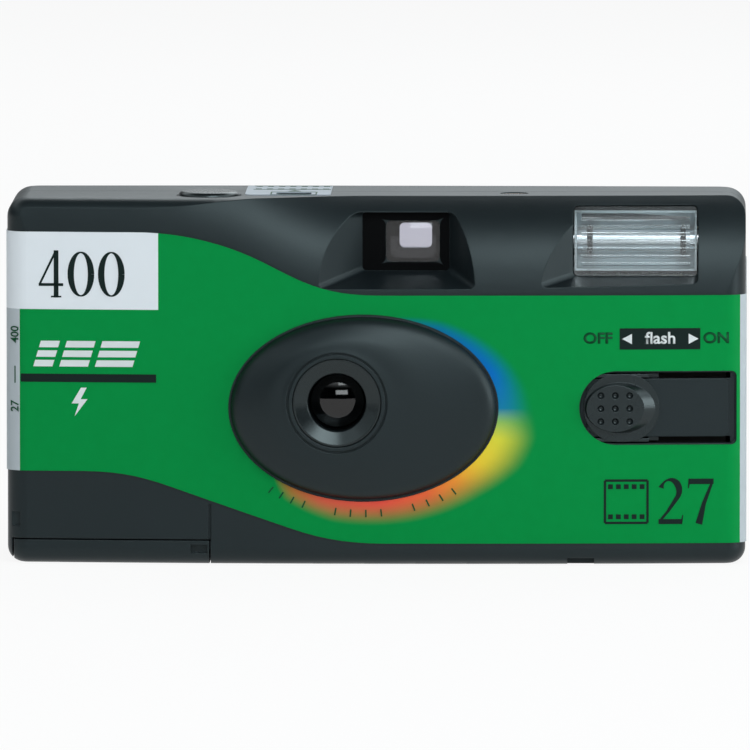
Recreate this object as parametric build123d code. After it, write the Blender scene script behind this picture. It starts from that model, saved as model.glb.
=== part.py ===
"""A single-use 35 mm film camera with a built-in flash, as an assembly of its real pieces.

Millimetres. X runs left to right seen from the front, the front faces -Y, and +Z is up.
The origin is on the ground, under the middle of the whole camera.
"""
from build123d import *
from math import cos, pi, radians, sin, sqrt, tan
import os

# %% Overall sizes
overall_width = 108.0
overall_depth = 34.0
overall_height = 54.0
button_proud = 0.6
wall = 1.3
label_thickness = 0.15
seam_gap = 0.1
fit_gap = 0.15
running_gap = 0.3
cut_overrun = 2.0

half_width = overall_width / 2 - label_thickness
body_height = overall_height - button_proud

# %% Shell form
mound_height = 3.4
front_bow_rise = 2.4
back_bow_rise = 0.8
split_y = 3.0
plan_front_radius = 3.2
plan_back_radius = 4.2
top_edge_radius = 2.8
bottom_edge_radius = 2.4

front_crest_y = mound_height - overall_depth / 2
back_crest_y = overall_depth / 2 - label_thickness
front_bow_radius = (half_width**2 + front_bow_rise**2) / (2 * front_bow_rise)
back_bow_radius = (half_width**2 + back_bow_rise**2) / (2 * back_bow_rise)

# %% Film, cassette and lens: the cassette stands at the left end, the lens before the middle of the film
cassette_inset = 15.25
cassette_to_lens = 33.0
film_inset = 2.55
film_thickness = 0.15
film_to_cassette = 11.75
wheel_deck_drop = 7.4
cassette_top_gap = 0.25
cassette_bottom_z = 2.25
film_end_margin = 4.25
frame_margin = 5.5
frame_length = 36.0
perforation_pitch = 4.75
perforation_length = 2.0
perforation_height = 2.8
perforation_margin = 2.0

cassette_x = cassette_inset - half_width
lens_x = cassette_x + cassette_to_lens
film_face_y = back_crest_y - film_inset
cassette_y = film_face_y - film_to_cassette
wheel_deck_bottom_z = body_height - wheel_deck_drop
cassette_top_z = wheel_deck_bottom_z - cassette_top_gap
lens_z = (cassette_bottom_z + cassette_top_z) / 2
film_width = cassette_top_z - cassette_bottom_z - 2 * film_end_margin
frame_height = film_width - 2 * frame_margin
film_back_y = film_face_y + film_thickness
film_bottom_z = lens_z - film_width / 2
film_top_z = lens_z + film_width / 2

# %% The wave: a crease that falls from the left to the right, and the label's two edges
wave_high_drop = 4.85
wave_high_z = body_height - wave_high_drop
wave_low_drop = 13.95
wave_low_z = body_height - wave_low_drop
wave_corner_left = 19.0
wave_corner_x = lens_x - wave_corner_left
wave_high_radius = 42.0
wave_low_radius = 27.0
wave_slope_deg = 27.5
crease_rise = 0.45
band_radius = 16.0
band_tilt_deg = 2.0
band_end_deg = 80.0
band_station_count = 27

label_low_left_z = 13.6
label_low_right_z = 3.2
label_low_corner_left = 30.7
label_low_corner_x = lens_x - label_low_corner_left
label_low_high_radius = 34.0
label_low_low_radius = 40.0
label_low_slope_deg = 19.0
label_back_low_z = 4.6
label_back_drop = 10.2
label_back_high_z = body_height - label_back_drop
label_point_count = 12

# %% Lens mound, seen from the front
mound_right = 3.8
mound_x = lens_x + mound_right
mound_below = 1.0
mound_z = lens_z - mound_below
mound_half_length = 19.35
mound_half_height = 13.35
mound_label_gap = 0.35
crest_half_length = 7.5
crest_half_height = 7.3
crest_groove_radius = 7.2
crest_groove_width = 0.3
crest_groove_depth = 0.3
mound_level_shares = (0.0, 0.28, 0.55, 0.78, 0.94, 1.0)
mound_size_shares = (0.0, 0.06, 0.24, 0.50, 0.80, 1.0)

# %% Small makers
def block(x0, x1, y0, y1, z0, z1):
    """A box between two corners."""
    return Pos((x0 + x1) / 2, (y0 + y1) / 2, (z0 + z1) / 2) * Box(x1 - x0, y1 - y0, z1 - z0)


def rod_x(y, z, x0, x1, radius):
    """A round rod along X."""
    return Pos((x0 + x1) / 2, y, z) * Rot(0, 90, 0) * Cylinder(radius, x1 - x0)


def rod_y(x, z, y0, y1, radius):
    """A round rod along Y."""
    return Pos(x, (y0 + y1) / 2, z) * Rot(90, 0, 0) * Cylinder(radius, y1 - y0)


def rod_z(x, y, z0, z1, radius):
    """A round rod along Z."""
    return Pos(x, y, (z0 + z1) / 2) * Cylinder(radius, z1 - z0)


def tube_z(x, y, z0, z1, outer, inner):
    """A round tube along Z."""
    return rod_z(x, y, z0, z1, outer) - rod_z(x, y, z0 - cut_overrun, z1 + cut_overrun, inner)


def tube_y(x, z, y0, y1, outer, inner):
    """A round tube along Y."""
    return rod_y(x, z, y0, y1, outer) - rod_y(x, z, y0 - cut_overrun, y1 + cut_overrun, inner)


def front_plane(y):
    """A drawing plane seen from the front: its x is X, its y is Z and it faces -Y."""
    return Plane((0, y, 0), x_dir=(1, 0, 0), z_dir=(0, -1, 0))


def front_prism(sketch, y0, y1):
    """A shape drawn in the front view, solid from y0 to y1."""
    return extrude(front_plane(y1) * sketch, y1 - y0)


def top_prism(sketch, z0, z1):
    """A shape drawn in the top view, solid from z0 to z1."""
    return extrude(Plane.XY.offset(z0) * sketch, z1 - z0)


def side_prism(sketch, x0, x1):
    """A shape drawn in the side view (Y, Z), solid from x0 to x1."""
    return extrude(Plane.YZ.offset(x0) * sketch, x1 - x0)


def cone_y(x, z, y0, r0, y1, r1):
    """A cone frustum along Y, radius r0 at y0 and r1 at y1."""
    first = front_plane(y0) * Pos(x, z) * Circle(r0)
    last = front_plane(y1) * Pos(x, z) * Circle(r1)
    return loft([first, last], ruled=True)


def rectangle_between(x0, x1, z0, z1):
    """A flat rectangle between two corners."""
    return Pos((x0 + x1) / 2, (z0 + z1) / 2) * Rectangle(x1 - x0, z1 - z0)


def rounded_between(x0, x1, z0, z1, radius):
    """A flat rectangle between two corners, with its corners rounded."""
    return Pos((x0 + x1) / 2, (z0 + z1) / 2) * RectangleRounded(x1 - x0, z1 - z0, radius)


def funnel(inner, inner_y, outer, outer_y, radius):
    """A four-sided funnel between two front-view rectangles (x0, x1, z0, z1)."""
    small = front_plane(inner_y) * rounded_between(*inner, radius)
    large = front_plane(outer_y) * rounded_between(*outer, radius)
    return loft([small, large], ruled=True)


def grown(rectangle, margin):
    """A front-view rectangle made larger on every side."""
    x0, x1, z0, z1 = rectangle
    return (x0 - margin, x1 + margin, z0 - margin, z1 + margin)


def bar(start, end, width):
    """A flat bar with round ends between two points."""
    line = Line(start, end)
    middle = line @ (1 / 2)
    slot = SlotCenterToCenter(line.length, width)
    return Pos(middle.X, middle.Y) * Rot(0, 0, line_angle(start, end)) * slot


def line_angle(start, end):
    """Direction of the line between two flat points, in degrees."""
    return Vector(1, 0, 0).get_signed_angle(Vector(end[0] - start[0], end[1] - start[1], 0), Vector(0, 0, 1))


def coil(z0, z1, mean_radius, wire_radius, turn_count):
    """A round wire spring with its axis on Z, between the heights z0 and z1."""
    rise = z1 - z0 - 2 * wire_radius
    path = Pos(0, 0, z0 + wire_radius) * Helix(rise / turn_count, rise, mean_radius)
    return sweep(Plane(path @ 0, z_dir=path % 0) * Circle(wire_radius), path=path, is_frenet=True)


def wave(x, high_z, low_z, corner_x, high_radius, low_radius, slope_deg):
    """Height of an S-shaped line that falls from high_z to low_z, built of two arcs and a slope."""
    slope = radians(slope_deg)
    high_tangent = high_radius * tan(slope / 2)
    low_tangent = low_radius * tan(slope / 2)
    low_corner_x = corner_x + (high_z - low_z) / tan(slope)
    high_start = corner_x - high_tangent
    high_end = corner_x + high_tangent * cos(slope)
    low_start = low_corner_x - low_tangent * cos(slope)
    low_end = low_corner_x + low_tangent
    if x <= high_start:
        return high_z
    if x < high_end:
        return high_z - high_radius + sqrt(high_radius**2 - (x - high_start) ** 2)
    if x < low_start:
        return high_z - (x - corner_x) * tan(slope)
    if x < low_end:
        return low_z + low_radius - sqrt(low_radius**2 - (low_end - x) ** 2)
    return low_z


def crease_z(x):
    """Height of the crease where the flat front turns into the sloped band."""
    line = wave(x, wave_high_z, wave_low_z, wave_corner_x, wave_high_radius, wave_low_radius, wave_slope_deg)
    return line + crease_rise


def front_y(x):
    """Y of the bowed front face."""
    return front_crest_y + front_bow_radius - sqrt(front_bow_radius**2 - x**2)


def back_y(x):
    """Y of the bowed back face."""
    return back_crest_y - back_bow_radius + sqrt(back_bow_radius**2 - x**2)


# %% Shell envelope
def plan_face(inset):
    """Top view of the body, bowed at the front and back, with its corners rounded."""
    half = half_width - inset
    front_end = front_y(half) + inset
    back_end = back_y(half) - inset
    outline = (
        ThreePointArc((-half, front_end), (0, front_crest_y + inset), (half, front_end))
        + Line((half, front_end), (half, back_end))
        + ThreePointArc((half, back_end), (0, back_crest_y - inset), (-half, back_end))
        + Line((-half, back_end), (-half, front_end))
    )
    face = make_face(outline)
    face = fillet(face.vertices().group_by(Axis.Y)[0], plan_front_radius - inset / 2)
    return fillet(face.vertices().group_by(Axis.Y)[-1], plan_back_radius - inset / 2)


def band_cut(inset):
    """What the rounded band above the crease takes away: one side-view arc carried along the crease."""
    sections = []
    reach = half_width + cut_overrun
    radius = band_radius - inset
    angles = [radians(band_tilt_deg), radians((band_tilt_deg + band_end_deg) / 2), radians(band_end_deg)]
    for step in range(band_station_count):
        x = reach * (2 * step / (band_station_count - 1) - 1)
        centre_y = front_y(min(abs(x), half_width)) + band_radius * cos(angles[0])
        centre_z = crease_z(x) - band_radius * sin(angles[0])
        start, middle, end = [(centre_y - radius * cos(a), centre_z + radius * sin(a)) for a in angles]
        out_y = start[0] - band_radius
        high_z = centre_z + 2 * band_radius
        outline = (
            ThreePointArc(start, middle, end)
            + Line(end, (end[0], high_z))
            + Line((end[0], high_z), (out_y, high_z))
            + Line((out_y, high_z), (out_y, start[1]))
            + Line((out_y, start[1]), start)
        )
        sections.append(Plane.YZ.offset(x) * make_face(outline))
    return loft(sections)


def envelope(inset):
    """The outside of the body, or the space inside a wall of that thickness."""
    body = top_prism(plan_face(inset), inset, body_height - inset)
    body = fillet(body.edges().group_by(Axis.Z)[-1], top_edge_radius - inset / 2)
    body = fillet(body.edges().group_by(Axis.Z)[0], bottom_edge_radius - inset / 2)
    return body - band_cut(inset)


def mound(inset):
    """The oval lens mound, a dome lofted through ellipses, or the hollow inside a wall of that thickness."""
    ellipses = []
    for level, shrink in zip(mound_level_shares, mound_size_shares):
        y = front_crest_y - level * mound_height + inset
        centre = Pos(mound_x + shrink * (lens_x - mound_x), mound_z + shrink * (lens_z - mound_z))
        half_length = mound_half_length - shrink * (mound_half_length - crest_half_length) - inset
        half_height = mound_half_height - shrink * (mound_half_height - crest_half_height) - inset
        ellipses.append(front_plane(y) * centre * Ellipse(half_length, half_height))
    base = Pos(mound_x, mound_z) * Ellipse(mound_half_length - inset, mound_half_height - inset)
    return loft(ellipses) + front_prism(base, front_crest_y + inset, front_crest_y + wall + inset)


# %% Viewfinder
viewfinder_right = 10.9
viewfinder_x = lens_x + viewfinder_right
viewfinder_drop = 7.4
viewfinder_z = body_height - viewfinder_drop
viewfinder_setback = 6.3
viewfinder_floor_y = front_crest_y + viewfinder_setback
recess_left_of_lens = 7.4
recess_right_of_lens = 5.4
recess_below_lens = 3.4
recess_above_lens = 5.2
viewfinder_left_flare_share = 1.0
viewfinder_right_flare_share = 0.62
viewfinder_bottom_flare_share = 0.36
recess_corner_radius = 0.8
front_lens_width = 9.2
front_lens_height = 7.4
front_lens_rise = 0.9
front_lens_thickness = 1.6
front_lens_curve_radius = 16.0
tunnel_setback = 8.2
tunnel_front_y = front_crest_y + tunnel_setback
tunnel_inset = 2.25
tunnel_rear_y = back_crest_y - tunnel_inset
tunnel_skin = 0.7
eyepiece_width = 4.8
eyepiece_height = 3.8
eyepiece_lip = 0.7
eyepiece_thickness = 1.3

viewfinder_recess = (viewfinder_x - recess_left_of_lens, viewfinder_x + recess_right_of_lens,
                     viewfinder_z - recess_below_lens, viewfinder_z + recess_above_lens)


def viewfinder_seat(margin):
    """Front-view rectangle of the front lens, a little higher than the eyepiece."""
    centre_z = viewfinder_z + front_lens_rise
    return (viewfinder_x - front_lens_width / 2 - margin, viewfinder_x + front_lens_width / 2 + margin,
            centre_z - front_lens_height / 2 - margin, centre_z + front_lens_height / 2 + margin)


def eyepiece_seat(margin):
    """Front-view rectangle of the eyepiece opening."""
    return (viewfinder_x - eyepiece_width / 2 - margin, viewfinder_x + eyepiece_width / 2 + margin,
            viewfinder_z - eyepiece_height / 2 - margin, viewfinder_z + eyepiece_height / 2 + margin)


def viewfinder_funnel(margin):
    """The flared recess in front of the viewfinder, grown by a margin for its moulded walls."""
    x0, x1, z0, z1 = grown(viewfinder_recess, margin)
    outer_y = front_crest_y - cut_overrun
    run = viewfinder_floor_y - outer_y
    outer = (x0 - run * viewfinder_left_flare_share, x1 + run * viewfinder_right_flare_share,
             z0 - run * viewfinder_bottom_flare_share, z1)
    inner_y = viewfinder_floor_y + margin
    return funnel((x0, x1, z0, z1), inner_y, outer, outer_y, recess_corner_radius + margin)


def viewfinder_front_lens():
    """Thin plano-concave window with a curved rear face."""
    front = viewfinder_floor_y + fit_gap
    blank = front_prism(rounded_between(*viewfinder_seat(0), recess_corner_radius), front,
                        front + front_lens_thickness)
    hollow_y = front + front_lens_thickness / 2 + front_lens_curve_radius
    centre = Pos(viewfinder_x, hollow_y, viewfinder_z + front_lens_rise)
    return blank - centre * Sphere(front_lens_curve_radius)


def viewfinder_tube():
    """Black tapered tunnel between the two viewfinder lenses."""
    outer = funnel(eyepiece_seat(tunnel_skin), tunnel_rear_y, viewfinder_seat(tunnel_skin - fit_gap),
                   tunnel_front_y, recess_corner_radius)
    bore = funnel(eyepiece_seat(0), tunnel_rear_y + fit_gap, viewfinder_seat(-tunnel_skin),
                  tunnel_front_y - fit_gap, recess_corner_radius)
    return outer - bore


def viewfinder_rear_lens():
    """Eyepiece: a plate inside the rear wall with a raised window through it."""
    plate = front_prism(rounded_between(*eyepiece_seat(eyepiece_lip), recess_corner_radius),
                        tunnel_rear_y + seam_gap, back_crest_y - wall - seam_gap)
    window = front_prism(rounded_between(*eyepiece_seat(-fit_gap), recess_corner_radius),
                         tunnel_rear_y + seam_gap, back_crest_y - wall + eyepiece_thickness / 2)
    return plate + window


# %% Flash
flash_inset = 16.05
flash_x = half_width - flash_inset
flash_half_width = 9.1
flash_below_tube = 5.0
flash_above_tube = 5.2
flash_setback = 4.3
flash_floor_y = front_crest_y + flash_setback
flash_left_flare_share = 1.25
flash_bottom_flare_share = 0.35
flash_frame_depth = 1.8
flash_window_skin = 1.2
flash_rib_pitch = 1.1
flash_rib_depth = 0.25
reflector_setback = 8.1
reflector_mouth_y = front_crest_y + reflector_setback
reflector_depth = 5.0
reflector_half_height = 4.4
reflector_half_width = 8.9
reflector_skin = 0.3
flash_tube_drop = 6.5
flash_tube_z = body_height - flash_tube_drop
flash_tube_setback = 10.4
flash_tube_y = front_crest_y + flash_tube_setback
flash_tube_radius = 1.4
flash_tube_length = 21.2
electrode_radius = 0.4
electrode_length = 1.6

flash_recess = (flash_x - flash_half_width, flash_x + flash_half_width,
                flash_tube_z - flash_below_tube, flash_tube_z + flash_above_tube)


def flash_funnel(margin):
    """The recess in front of the flash, flared to the left and below."""
    x0, x1, z0, z1 = grown(flash_recess, margin)
    outer_y = front_crest_y - cut_overrun
    run = flash_floor_y - outer_y
    outer = (x0 - run * flash_left_flare_share, x1, z0 - run * flash_bottom_flare_share, z1)
    return funnel((x0, x1, z0, z1), flash_floor_y, outer, outer_y, recess_corner_radius + margin)


def flash_opening(margin, y0, y1):
    """The straight opening that the flash window fills."""
    rectangle = grown(flash_recess, margin)
    return front_prism(rounded_between(*rectangle, recess_corner_radius + margin), y0, y1)


def flash_window(outer):
    """Clear panel: flat at the bottom, bending back with the band at the top, ribbed on its inside."""
    panel = flash_opening(-fit_gap, flash_floor_y, flash_floor_y + 2 * flash_frame_depth) & outer
    flat_y = flash_floor_y + flash_window_skin
    x0, x1, z0, z1 = grown(flash_recess, -flash_window_skin)
    panel -= front_prism(rectangle_between(x0, x1, z0, z1), flat_y, 0) & envelope(flash_window_skin)
    rib_count = int((z1 - z0) / flash_rib_pitch)
    for index in range(rib_count):
        rib_z = z0 + (index + 1 / 2) * flash_rib_pitch
        panel -= rod_x(flat_y, rib_z, x0, x1, flash_rib_depth)
    return panel


def flash_reflector():
    """Bright trough behind the window, with an end plate at each side and holes for the flash tube."""
    trough = Ellipse(reflector_depth, reflector_half_height) - Ellipse(
        reflector_depth - reflector_skin, reflector_half_height - reflector_skin)
    profile = Pos(reflector_mouth_y, flash_tube_z) * trough
    end_profile = Pos(reflector_mouth_y, flash_tube_z) * Ellipse(reflector_depth, reflector_half_height)
    x0 = flash_x - reflector_half_width
    x1 = flash_x + reflector_half_width
    body = side_prism(profile, x0, x1)
    for plate_x in (x0, x1 - reflector_skin):
        body += side_prism(end_profile, plate_x, plate_x + reflector_skin)
    body -= block(x0 - cut_overrun, x1 + cut_overrun, reflector_mouth_y - 2 * reflector_depth,
                  reflector_mouth_y, flash_tube_z - reflector_depth, flash_tube_z + reflector_depth)
    return body - rod_x(flash_tube_y, flash_tube_z, x0 - cut_overrun, x1 + cut_overrun,
                        flash_tube_radius + fit_gap)


def xenon_tube():
    """Flash tube with its two electrodes."""
    x0 = flash_x - flash_tube_length / 2
    x1 = flash_x + flash_tube_length / 2
    glass = rod_x(flash_tube_y, flash_tube_z, x0, x1, flash_tube_radius)
    pins = rod_x(flash_tube_y, flash_tube_z, x0 - electrode_length, x1 + electrode_length, electrode_radius)
    return glass + pins


# %% Flash circuit and battery
board_width = 37.0
board_inset = 2.85
board_right_x = half_width - board_inset
board_left_x = board_right_x - board_width
board_bottom_z = 4.0
board_drop = 14.0
board_top_z = body_height - board_drop
board_setback = 5.6
board_front_y = front_crest_y + board_setback
board_thickness = 1.0
board_corner_radius = 1.0
post_radius = 1.3
post_places_shares = ((0.10, 0.16), (0.42, 0.86))

capacitor_floor_z = 2.1
capacitor_radius = 6.5
capacitor_length = 26.0
capacitor_right = 15.6
capacitor_right_x = lens_x + capacitor_right
capacitor_setback = 9.1
capacitor_y = front_crest_y + capacitor_setback
lead_radius = 0.4
lead_length = 3.7
lead_spacing = 4.0

core_width = 8.4
core_depth = 6.4
core_height = 7.6
core_right = 23.0
core_left_x = board_left_x + core_right
core_bottom_z = 7.0
bobbin_rim = 1.0
core_cheek_share = 0.25
trigger_radius = 2.6
trigger_height = 8.0
trigger_right = 27.0
trigger_x = board_left_x + trigger_right
trigger_bottom_z = 19.0
part_radius = 0.9
part_length = 6.0
transistor_radius = 2.2
transistor_height = 4.6
transistor_flat_share = 0.75
chip_right = 2.4
chip_left_x = board_left_x + chip_right
chip_drop = 4.4
chip_top_z = board_top_z - chip_drop
chip_pitch = 5.2
chip_count = 4

battery_inset_x = 8.35
battery_x = half_width - battery_inset_x
battery_inset_y = 8.65
battery_y = back_crest_y - battery_inset_y
battery_radius = 5.25
battery_drop = 5.6
battery_nub_radius = 1.9
battery_nub_height = 0.8
battery_bottom_z = 3.5
contact_thickness = 0.3
contact_clearance = 0.1
contact_slot_gap = 0.05
contact_width = 8.0
bay_floor_z = 1.5
bay_plate = 0.8
contact_tail_length = 9.0
contact_tail_width = 3.0

capacitor_z = capacitor_floor_z + capacitor_radius
board_back_y = board_front_y + board_thickness
battery_top_z = body_height - battery_drop
board_height = board_top_z - board_bottom_z
post_places = []
for across, up in post_places_shares:
    post_places.append((board_left_x + across * board_width, board_bottom_z + up * board_height))


def flash_board():
    """Circuit board behind the front wall, with holes for its two posts."""
    outline = rounded_between(board_left_x, board_right_x, board_bottom_z, board_top_z, board_corner_radius)
    board = front_prism(outline, board_front_y, board_back_y)
    for x, z in post_places:
        board -= rod_y(x, z, board_front_y - cut_overrun, board_back_y + cut_overrun,
                       post_radius / 2 + fit_gap)
    return board


def main_capacitor():
    """Large flash capacitor lying under the light tunnel, with its two leads."""
    left_x = capacitor_right_x - capacitor_length
    can = rod_x(capacitor_y, capacitor_z, left_x, capacitor_right_x, capacitor_radius)
    rims = can.edges().filter_by(GeomType.CIRCLE)
    can = fillet(rims, lead_radius)
    for side in (-1, 1):
        lead_y = capacitor_y + side * lead_spacing / 2
        can += rod_x(lead_y, capacitor_z, capacitor_right_x, capacitor_right_x + lead_length, lead_radius)
    return can


def step_up_transformer():
    """Ferrite core with a wound bobbin in its window."""
    y0 = board_back_y
    y1 = y0 + core_depth
    x1 = core_left_x + core_width
    z1 = core_bottom_z + core_height
    core = block(core_left_x, x1, y0, y1, core_bottom_z, z1)
    cheek = core_depth * core_cheek_share
    window = block(core_left_x - cut_overrun, x1 + cut_overrun, y0 + cheek, y1 - cheek,
                   core_bottom_z + bobbin_rim, z1 - bobbin_rim)
    winding = rod_z((core_left_x + x1) / 2, (y0 + y1) / 2, core_bottom_z + bobbin_rim, z1 - bobbin_rim,
                    core_depth / 2 - fit_gap)
    return core - window + winding


def trigger_coil():
    """Small upright coil that fires the flash tube."""
    y = board_back_y + trigger_radius
    top_z = trigger_bottom_z + trigger_height
    body = rod_z(trigger_x, y, trigger_bottom_z, top_z, trigger_radius)
    waist = tube_z(trigger_x, y, trigger_bottom_z + bobbin_rim, top_z - bobbin_rim, 2 * trigger_radius,
                   trigger_radius - contact_thickness)
    return body - waist


def board_components():
    """Resistors and a transistor on the back of the board."""
    group = []
    for index in range(chip_count):
        z = chip_top_z - (index + 1) * chip_pitch
        y = board_back_y + part_radius
        group.append(rod_x(y, z, chip_left_x, chip_left_x + part_length, part_radius))
    transistor = rod_z(trigger_x, board_back_y + transistor_radius, chip_top_z - transistor_height,
                       chip_top_z, transistor_radius)
    flat_y = board_back_y + 2 * transistor_radius * transistor_flat_share
    transistor -= block(trigger_x - transistor_radius, trigger_x + transistor_radius, flat_y,
                        flat_y + transistor_radius, chip_top_z - 2 * transistor_height,
                        chip_top_z + cut_overrun)
    return Compound(group + [transistor])


def battery():
    """Slim cell standing at the right end, with its raised positive end on top."""
    shoulder_z = battery_top_z - battery_nub_height
    cell = rod_z(battery_x, battery_y, battery_bottom_z, shoulder_z, battery_radius)
    cell = fillet(cell.edges().filter_by(GeomType.CIRCLE), contact_thickness)
    return cell + rod_z(battery_x, battery_y, shoulder_z, battery_top_z, battery_nub_radius)


def contact_plate(z0, dimple_from_z, dimple_to_z, tail_down):
    """Sheet contact across one end of the cell, with a dimple towards it and a tail towards the board."""
    half = contact_width / 2
    plate = block(battery_x - half, battery_x + half, battery_y - half, battery_y + half, z0,
                  z0 + contact_thickness)
    plate += rod_z(battery_x, battery_y, dimple_from_z, dimple_to_z, battery_nub_radius / 2)
    tail_x = battery_x - half
    front = battery_y - battery_radius - contact_tail_width
    plate += block(tail_x, tail_x + contact_tail_width, front, battery_y - half, z0, z0 + contact_thickness)
    end_z = z0 - contact_tail_length if tail_down else z0 + contact_tail_length
    low_z, high_z = sorted((z0 + contact_thickness / 2, end_z))
    return plate + block(tail_x, tail_x + contact_tail_width, front, front + contact_thickness, low_z, high_z)


def battery_contact_top():
    """Positive contact, held under the plate at the top of the battery bay."""
    z0 = battery_top_z + contact_thickness
    return contact_plate(z0, battery_top_z + contact_clearance, z0 + contact_thickness / 2, True)


def battery_contact_bottom():
    """Negative contact on the floor of the battery bay."""
    z0 = bay_floor_z + bay_plate
    return contact_plate(z0, z0, battery_bottom_z - contact_clearance, False)


# %% Film cassette, film and thumbwheel
can_radius = 12.0
can_skin = 0.25
cap_radius = 12.3
cap_height = 2.0
cap_skin = 0.3
lip_root = 1.0
lip_reach = 7.6
lip_skin = 0.35
lip_gap = 0.05
spool_radius = 5.6
spool_end_gap = 0.35
stub_radius = 4.4
stub_height = 2.9
spool_bore_radius = 2.8
spool_bore_depth = 6.4
drive_rib_width = 1.0
drive_rib_height = 3.0

wheel_radius = 13.3
wheel_drop = 6.5
wheel_bottom_z = body_height - wheel_drop
wheel_thickness = 2.8
wheel_tooth_count = 60
wheel_tooth_depth = 0.55
wheel_ramp_share = 0.75
collar_radius = 5.3
wheel_deck_thickness = 0.6
drive_pin_radius = 2.4
wheel_roof = 0.95

supply_right = 29.9
supply_x = lens_x + supply_right
roll_radius = 8.65
supply_core_radius = 4.0
supply_pin_radius = 1.5
supply_slot_width = 0.6

sprocket_left = 13.4
sprocket_x = lens_x - sprocket_left
sprocket_tooth_count = 8
sprocket_root_radius = 5.6
sprocket_tip_radius = 6.6
sprocket_tooth_width = 1.5
sprocket_thickness = 1.6
shaft_radius = 1.5
pivot_radius = 0.9
cam_radius = 3.0
cam_flat = 1.6
cam_drop = 9.0
cam_bottom_z = body_height - cam_drop
cam_thickness = 1.2
finger_radius = 2.3
finger_width = 1.2
dial_drop = 3.2
dial_bottom_z = body_height - dial_drop
dial_thickness = 1.0

supply_y = film_face_y - fit_gap - roll_radius
sprocket_y = film_face_y - fit_gap - sprocket_root_radius
sprocket_z = film_top_z - perforation_margin - perforation_height / 2
wheel_top_z = wheel_bottom_z + wheel_thickness
wheel_bore_top_z = wheel_top_z - wheel_roof
gate_half_length = frame_length / 2
gate_half_height = frame_height / 2


def cassette_can():
    """Sheet can with the flat lips that the film leaves through."""
    z0 = cassette_bottom_z + cap_skin + seam_gap
    z1 = cassette_top_z - cap_skin - seam_gap
    can = tube_z(cassette_x, cassette_y, z0, z1, can_radius, can_radius - can_skin)
    lip_z0 = z0 + cap_height
    lip_z1 = z1 - cap_height
    slot_y0 = film_face_y - lip_gap
    slot_y1 = film_back_y + lip_gap
    lip_x1 = cassette_x + lip_reach
    lips = block(cassette_x - lip_root, lip_x1, slot_y1, slot_y1 + lip_skin, lip_z0, lip_z1)
    lips += block(cassette_x + lip_root, lip_x1, slot_y0 - lip_skin, slot_y0, lip_z0, lip_z1)
    lips -= rod_z(cassette_x, cassette_y, z0, z1, can_radius - can_skin)
    slot = block(cassette_x + lip_root, lip_x1 + cut_overrun, slot_y0, slot_y1, film_bottom_z - lip_gap,
                 film_top_z + lip_gap)
    return can + lips - slot


def cassette_cap(outer_z, inward):
    """End cap pressed over the can, with a hole for the spool."""
    skirt_z = outer_z + inward * cap_height
    face_z = outer_z + inward * cap_skin
    z0, z1 = sorted((outer_z, skirt_z))
    cap = rod_z(cassette_x, cassette_y, z0, z1, cap_radius)
    low, high = sorted((face_z, skirt_z + inward * cut_overrun))
    cap -= rod_z(cassette_x, cassette_y, low, high, can_radius + seam_gap)
    return cap - rod_z(cassette_x, cassette_y, z0 - cut_overrun, z1 + cut_overrun, stub_radius + fit_gap)


def cassette_spool():
    """Spool with its open stub at the top, driven by a rib across the bore."""
    core_z0 = cassette_bottom_z + cap_skin + spool_end_gap
    core_z1 = cassette_top_z - cap_skin - spool_end_gap
    top_z = cassette_top_z + stub_height
    spool = rod_z(cassette_x, cassette_y, core_z0, core_z1, spool_radius)
    spool += rod_z(cassette_x, cassette_y, cassette_bottom_z, top_z, stub_radius)
    spool -= rod_z(cassette_x, cassette_y, top_z - spool_bore_depth, top_z + cut_overrun, spool_bore_radius)
    rib_z = top_z - spool_bore_depth
    return spool + block(cassette_x - spool_bore_radius, cassette_x + spool_bore_radius,
                         cassette_y - drive_rib_width / 2, cassette_y + drive_rib_width / 2, rib_z,
                         rib_z + drive_rib_height)


def thumbwheel():
    """Toothed winding wheel with a collar below it and a forked pin into the spool."""
    points = []
    step = 2 * pi / wheel_tooth_count
    for index in range(wheel_tooth_count):
        for angle, radius in ((index * step, wheel_radius - wheel_tooth_depth),
                              ((index + wheel_ramp_share) * step, wheel_radius)):
            points.append((cassette_x + radius * cos(angle), cassette_y + radius * sin(angle)))
    rim = make_face(Polyline(*points, close=True))
    wheel = top_prism(rim, wheel_bottom_z, wheel_top_z)
    collar_z = wheel_deck_bottom_z + seam_gap
    wheel += rod_z(cassette_x, cassette_y, collar_z, wheel_bottom_z, collar_radius)
    wheel -= rod_z(cassette_x, cassette_y, collar_z - cut_overrun, wheel_bore_top_z, stub_radius + seam_gap)
    rib_z = cassette_top_z + stub_height - spool_bore_depth
    pin_z = rib_z + seam_gap
    wheel += rod_z(cassette_x, cassette_y, pin_z, wheel_bore_top_z, drive_pin_radius)
    slot_half = drive_rib_width / 2 + seam_gap
    return wheel - block(cassette_x - spool_bore_radius, cassette_x + spool_bore_radius,
                         cassette_y - slot_half, cassette_y + slot_half, pin_z - cut_overrun,
                         rib_z + drive_rib_height + seam_gap)


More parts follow.
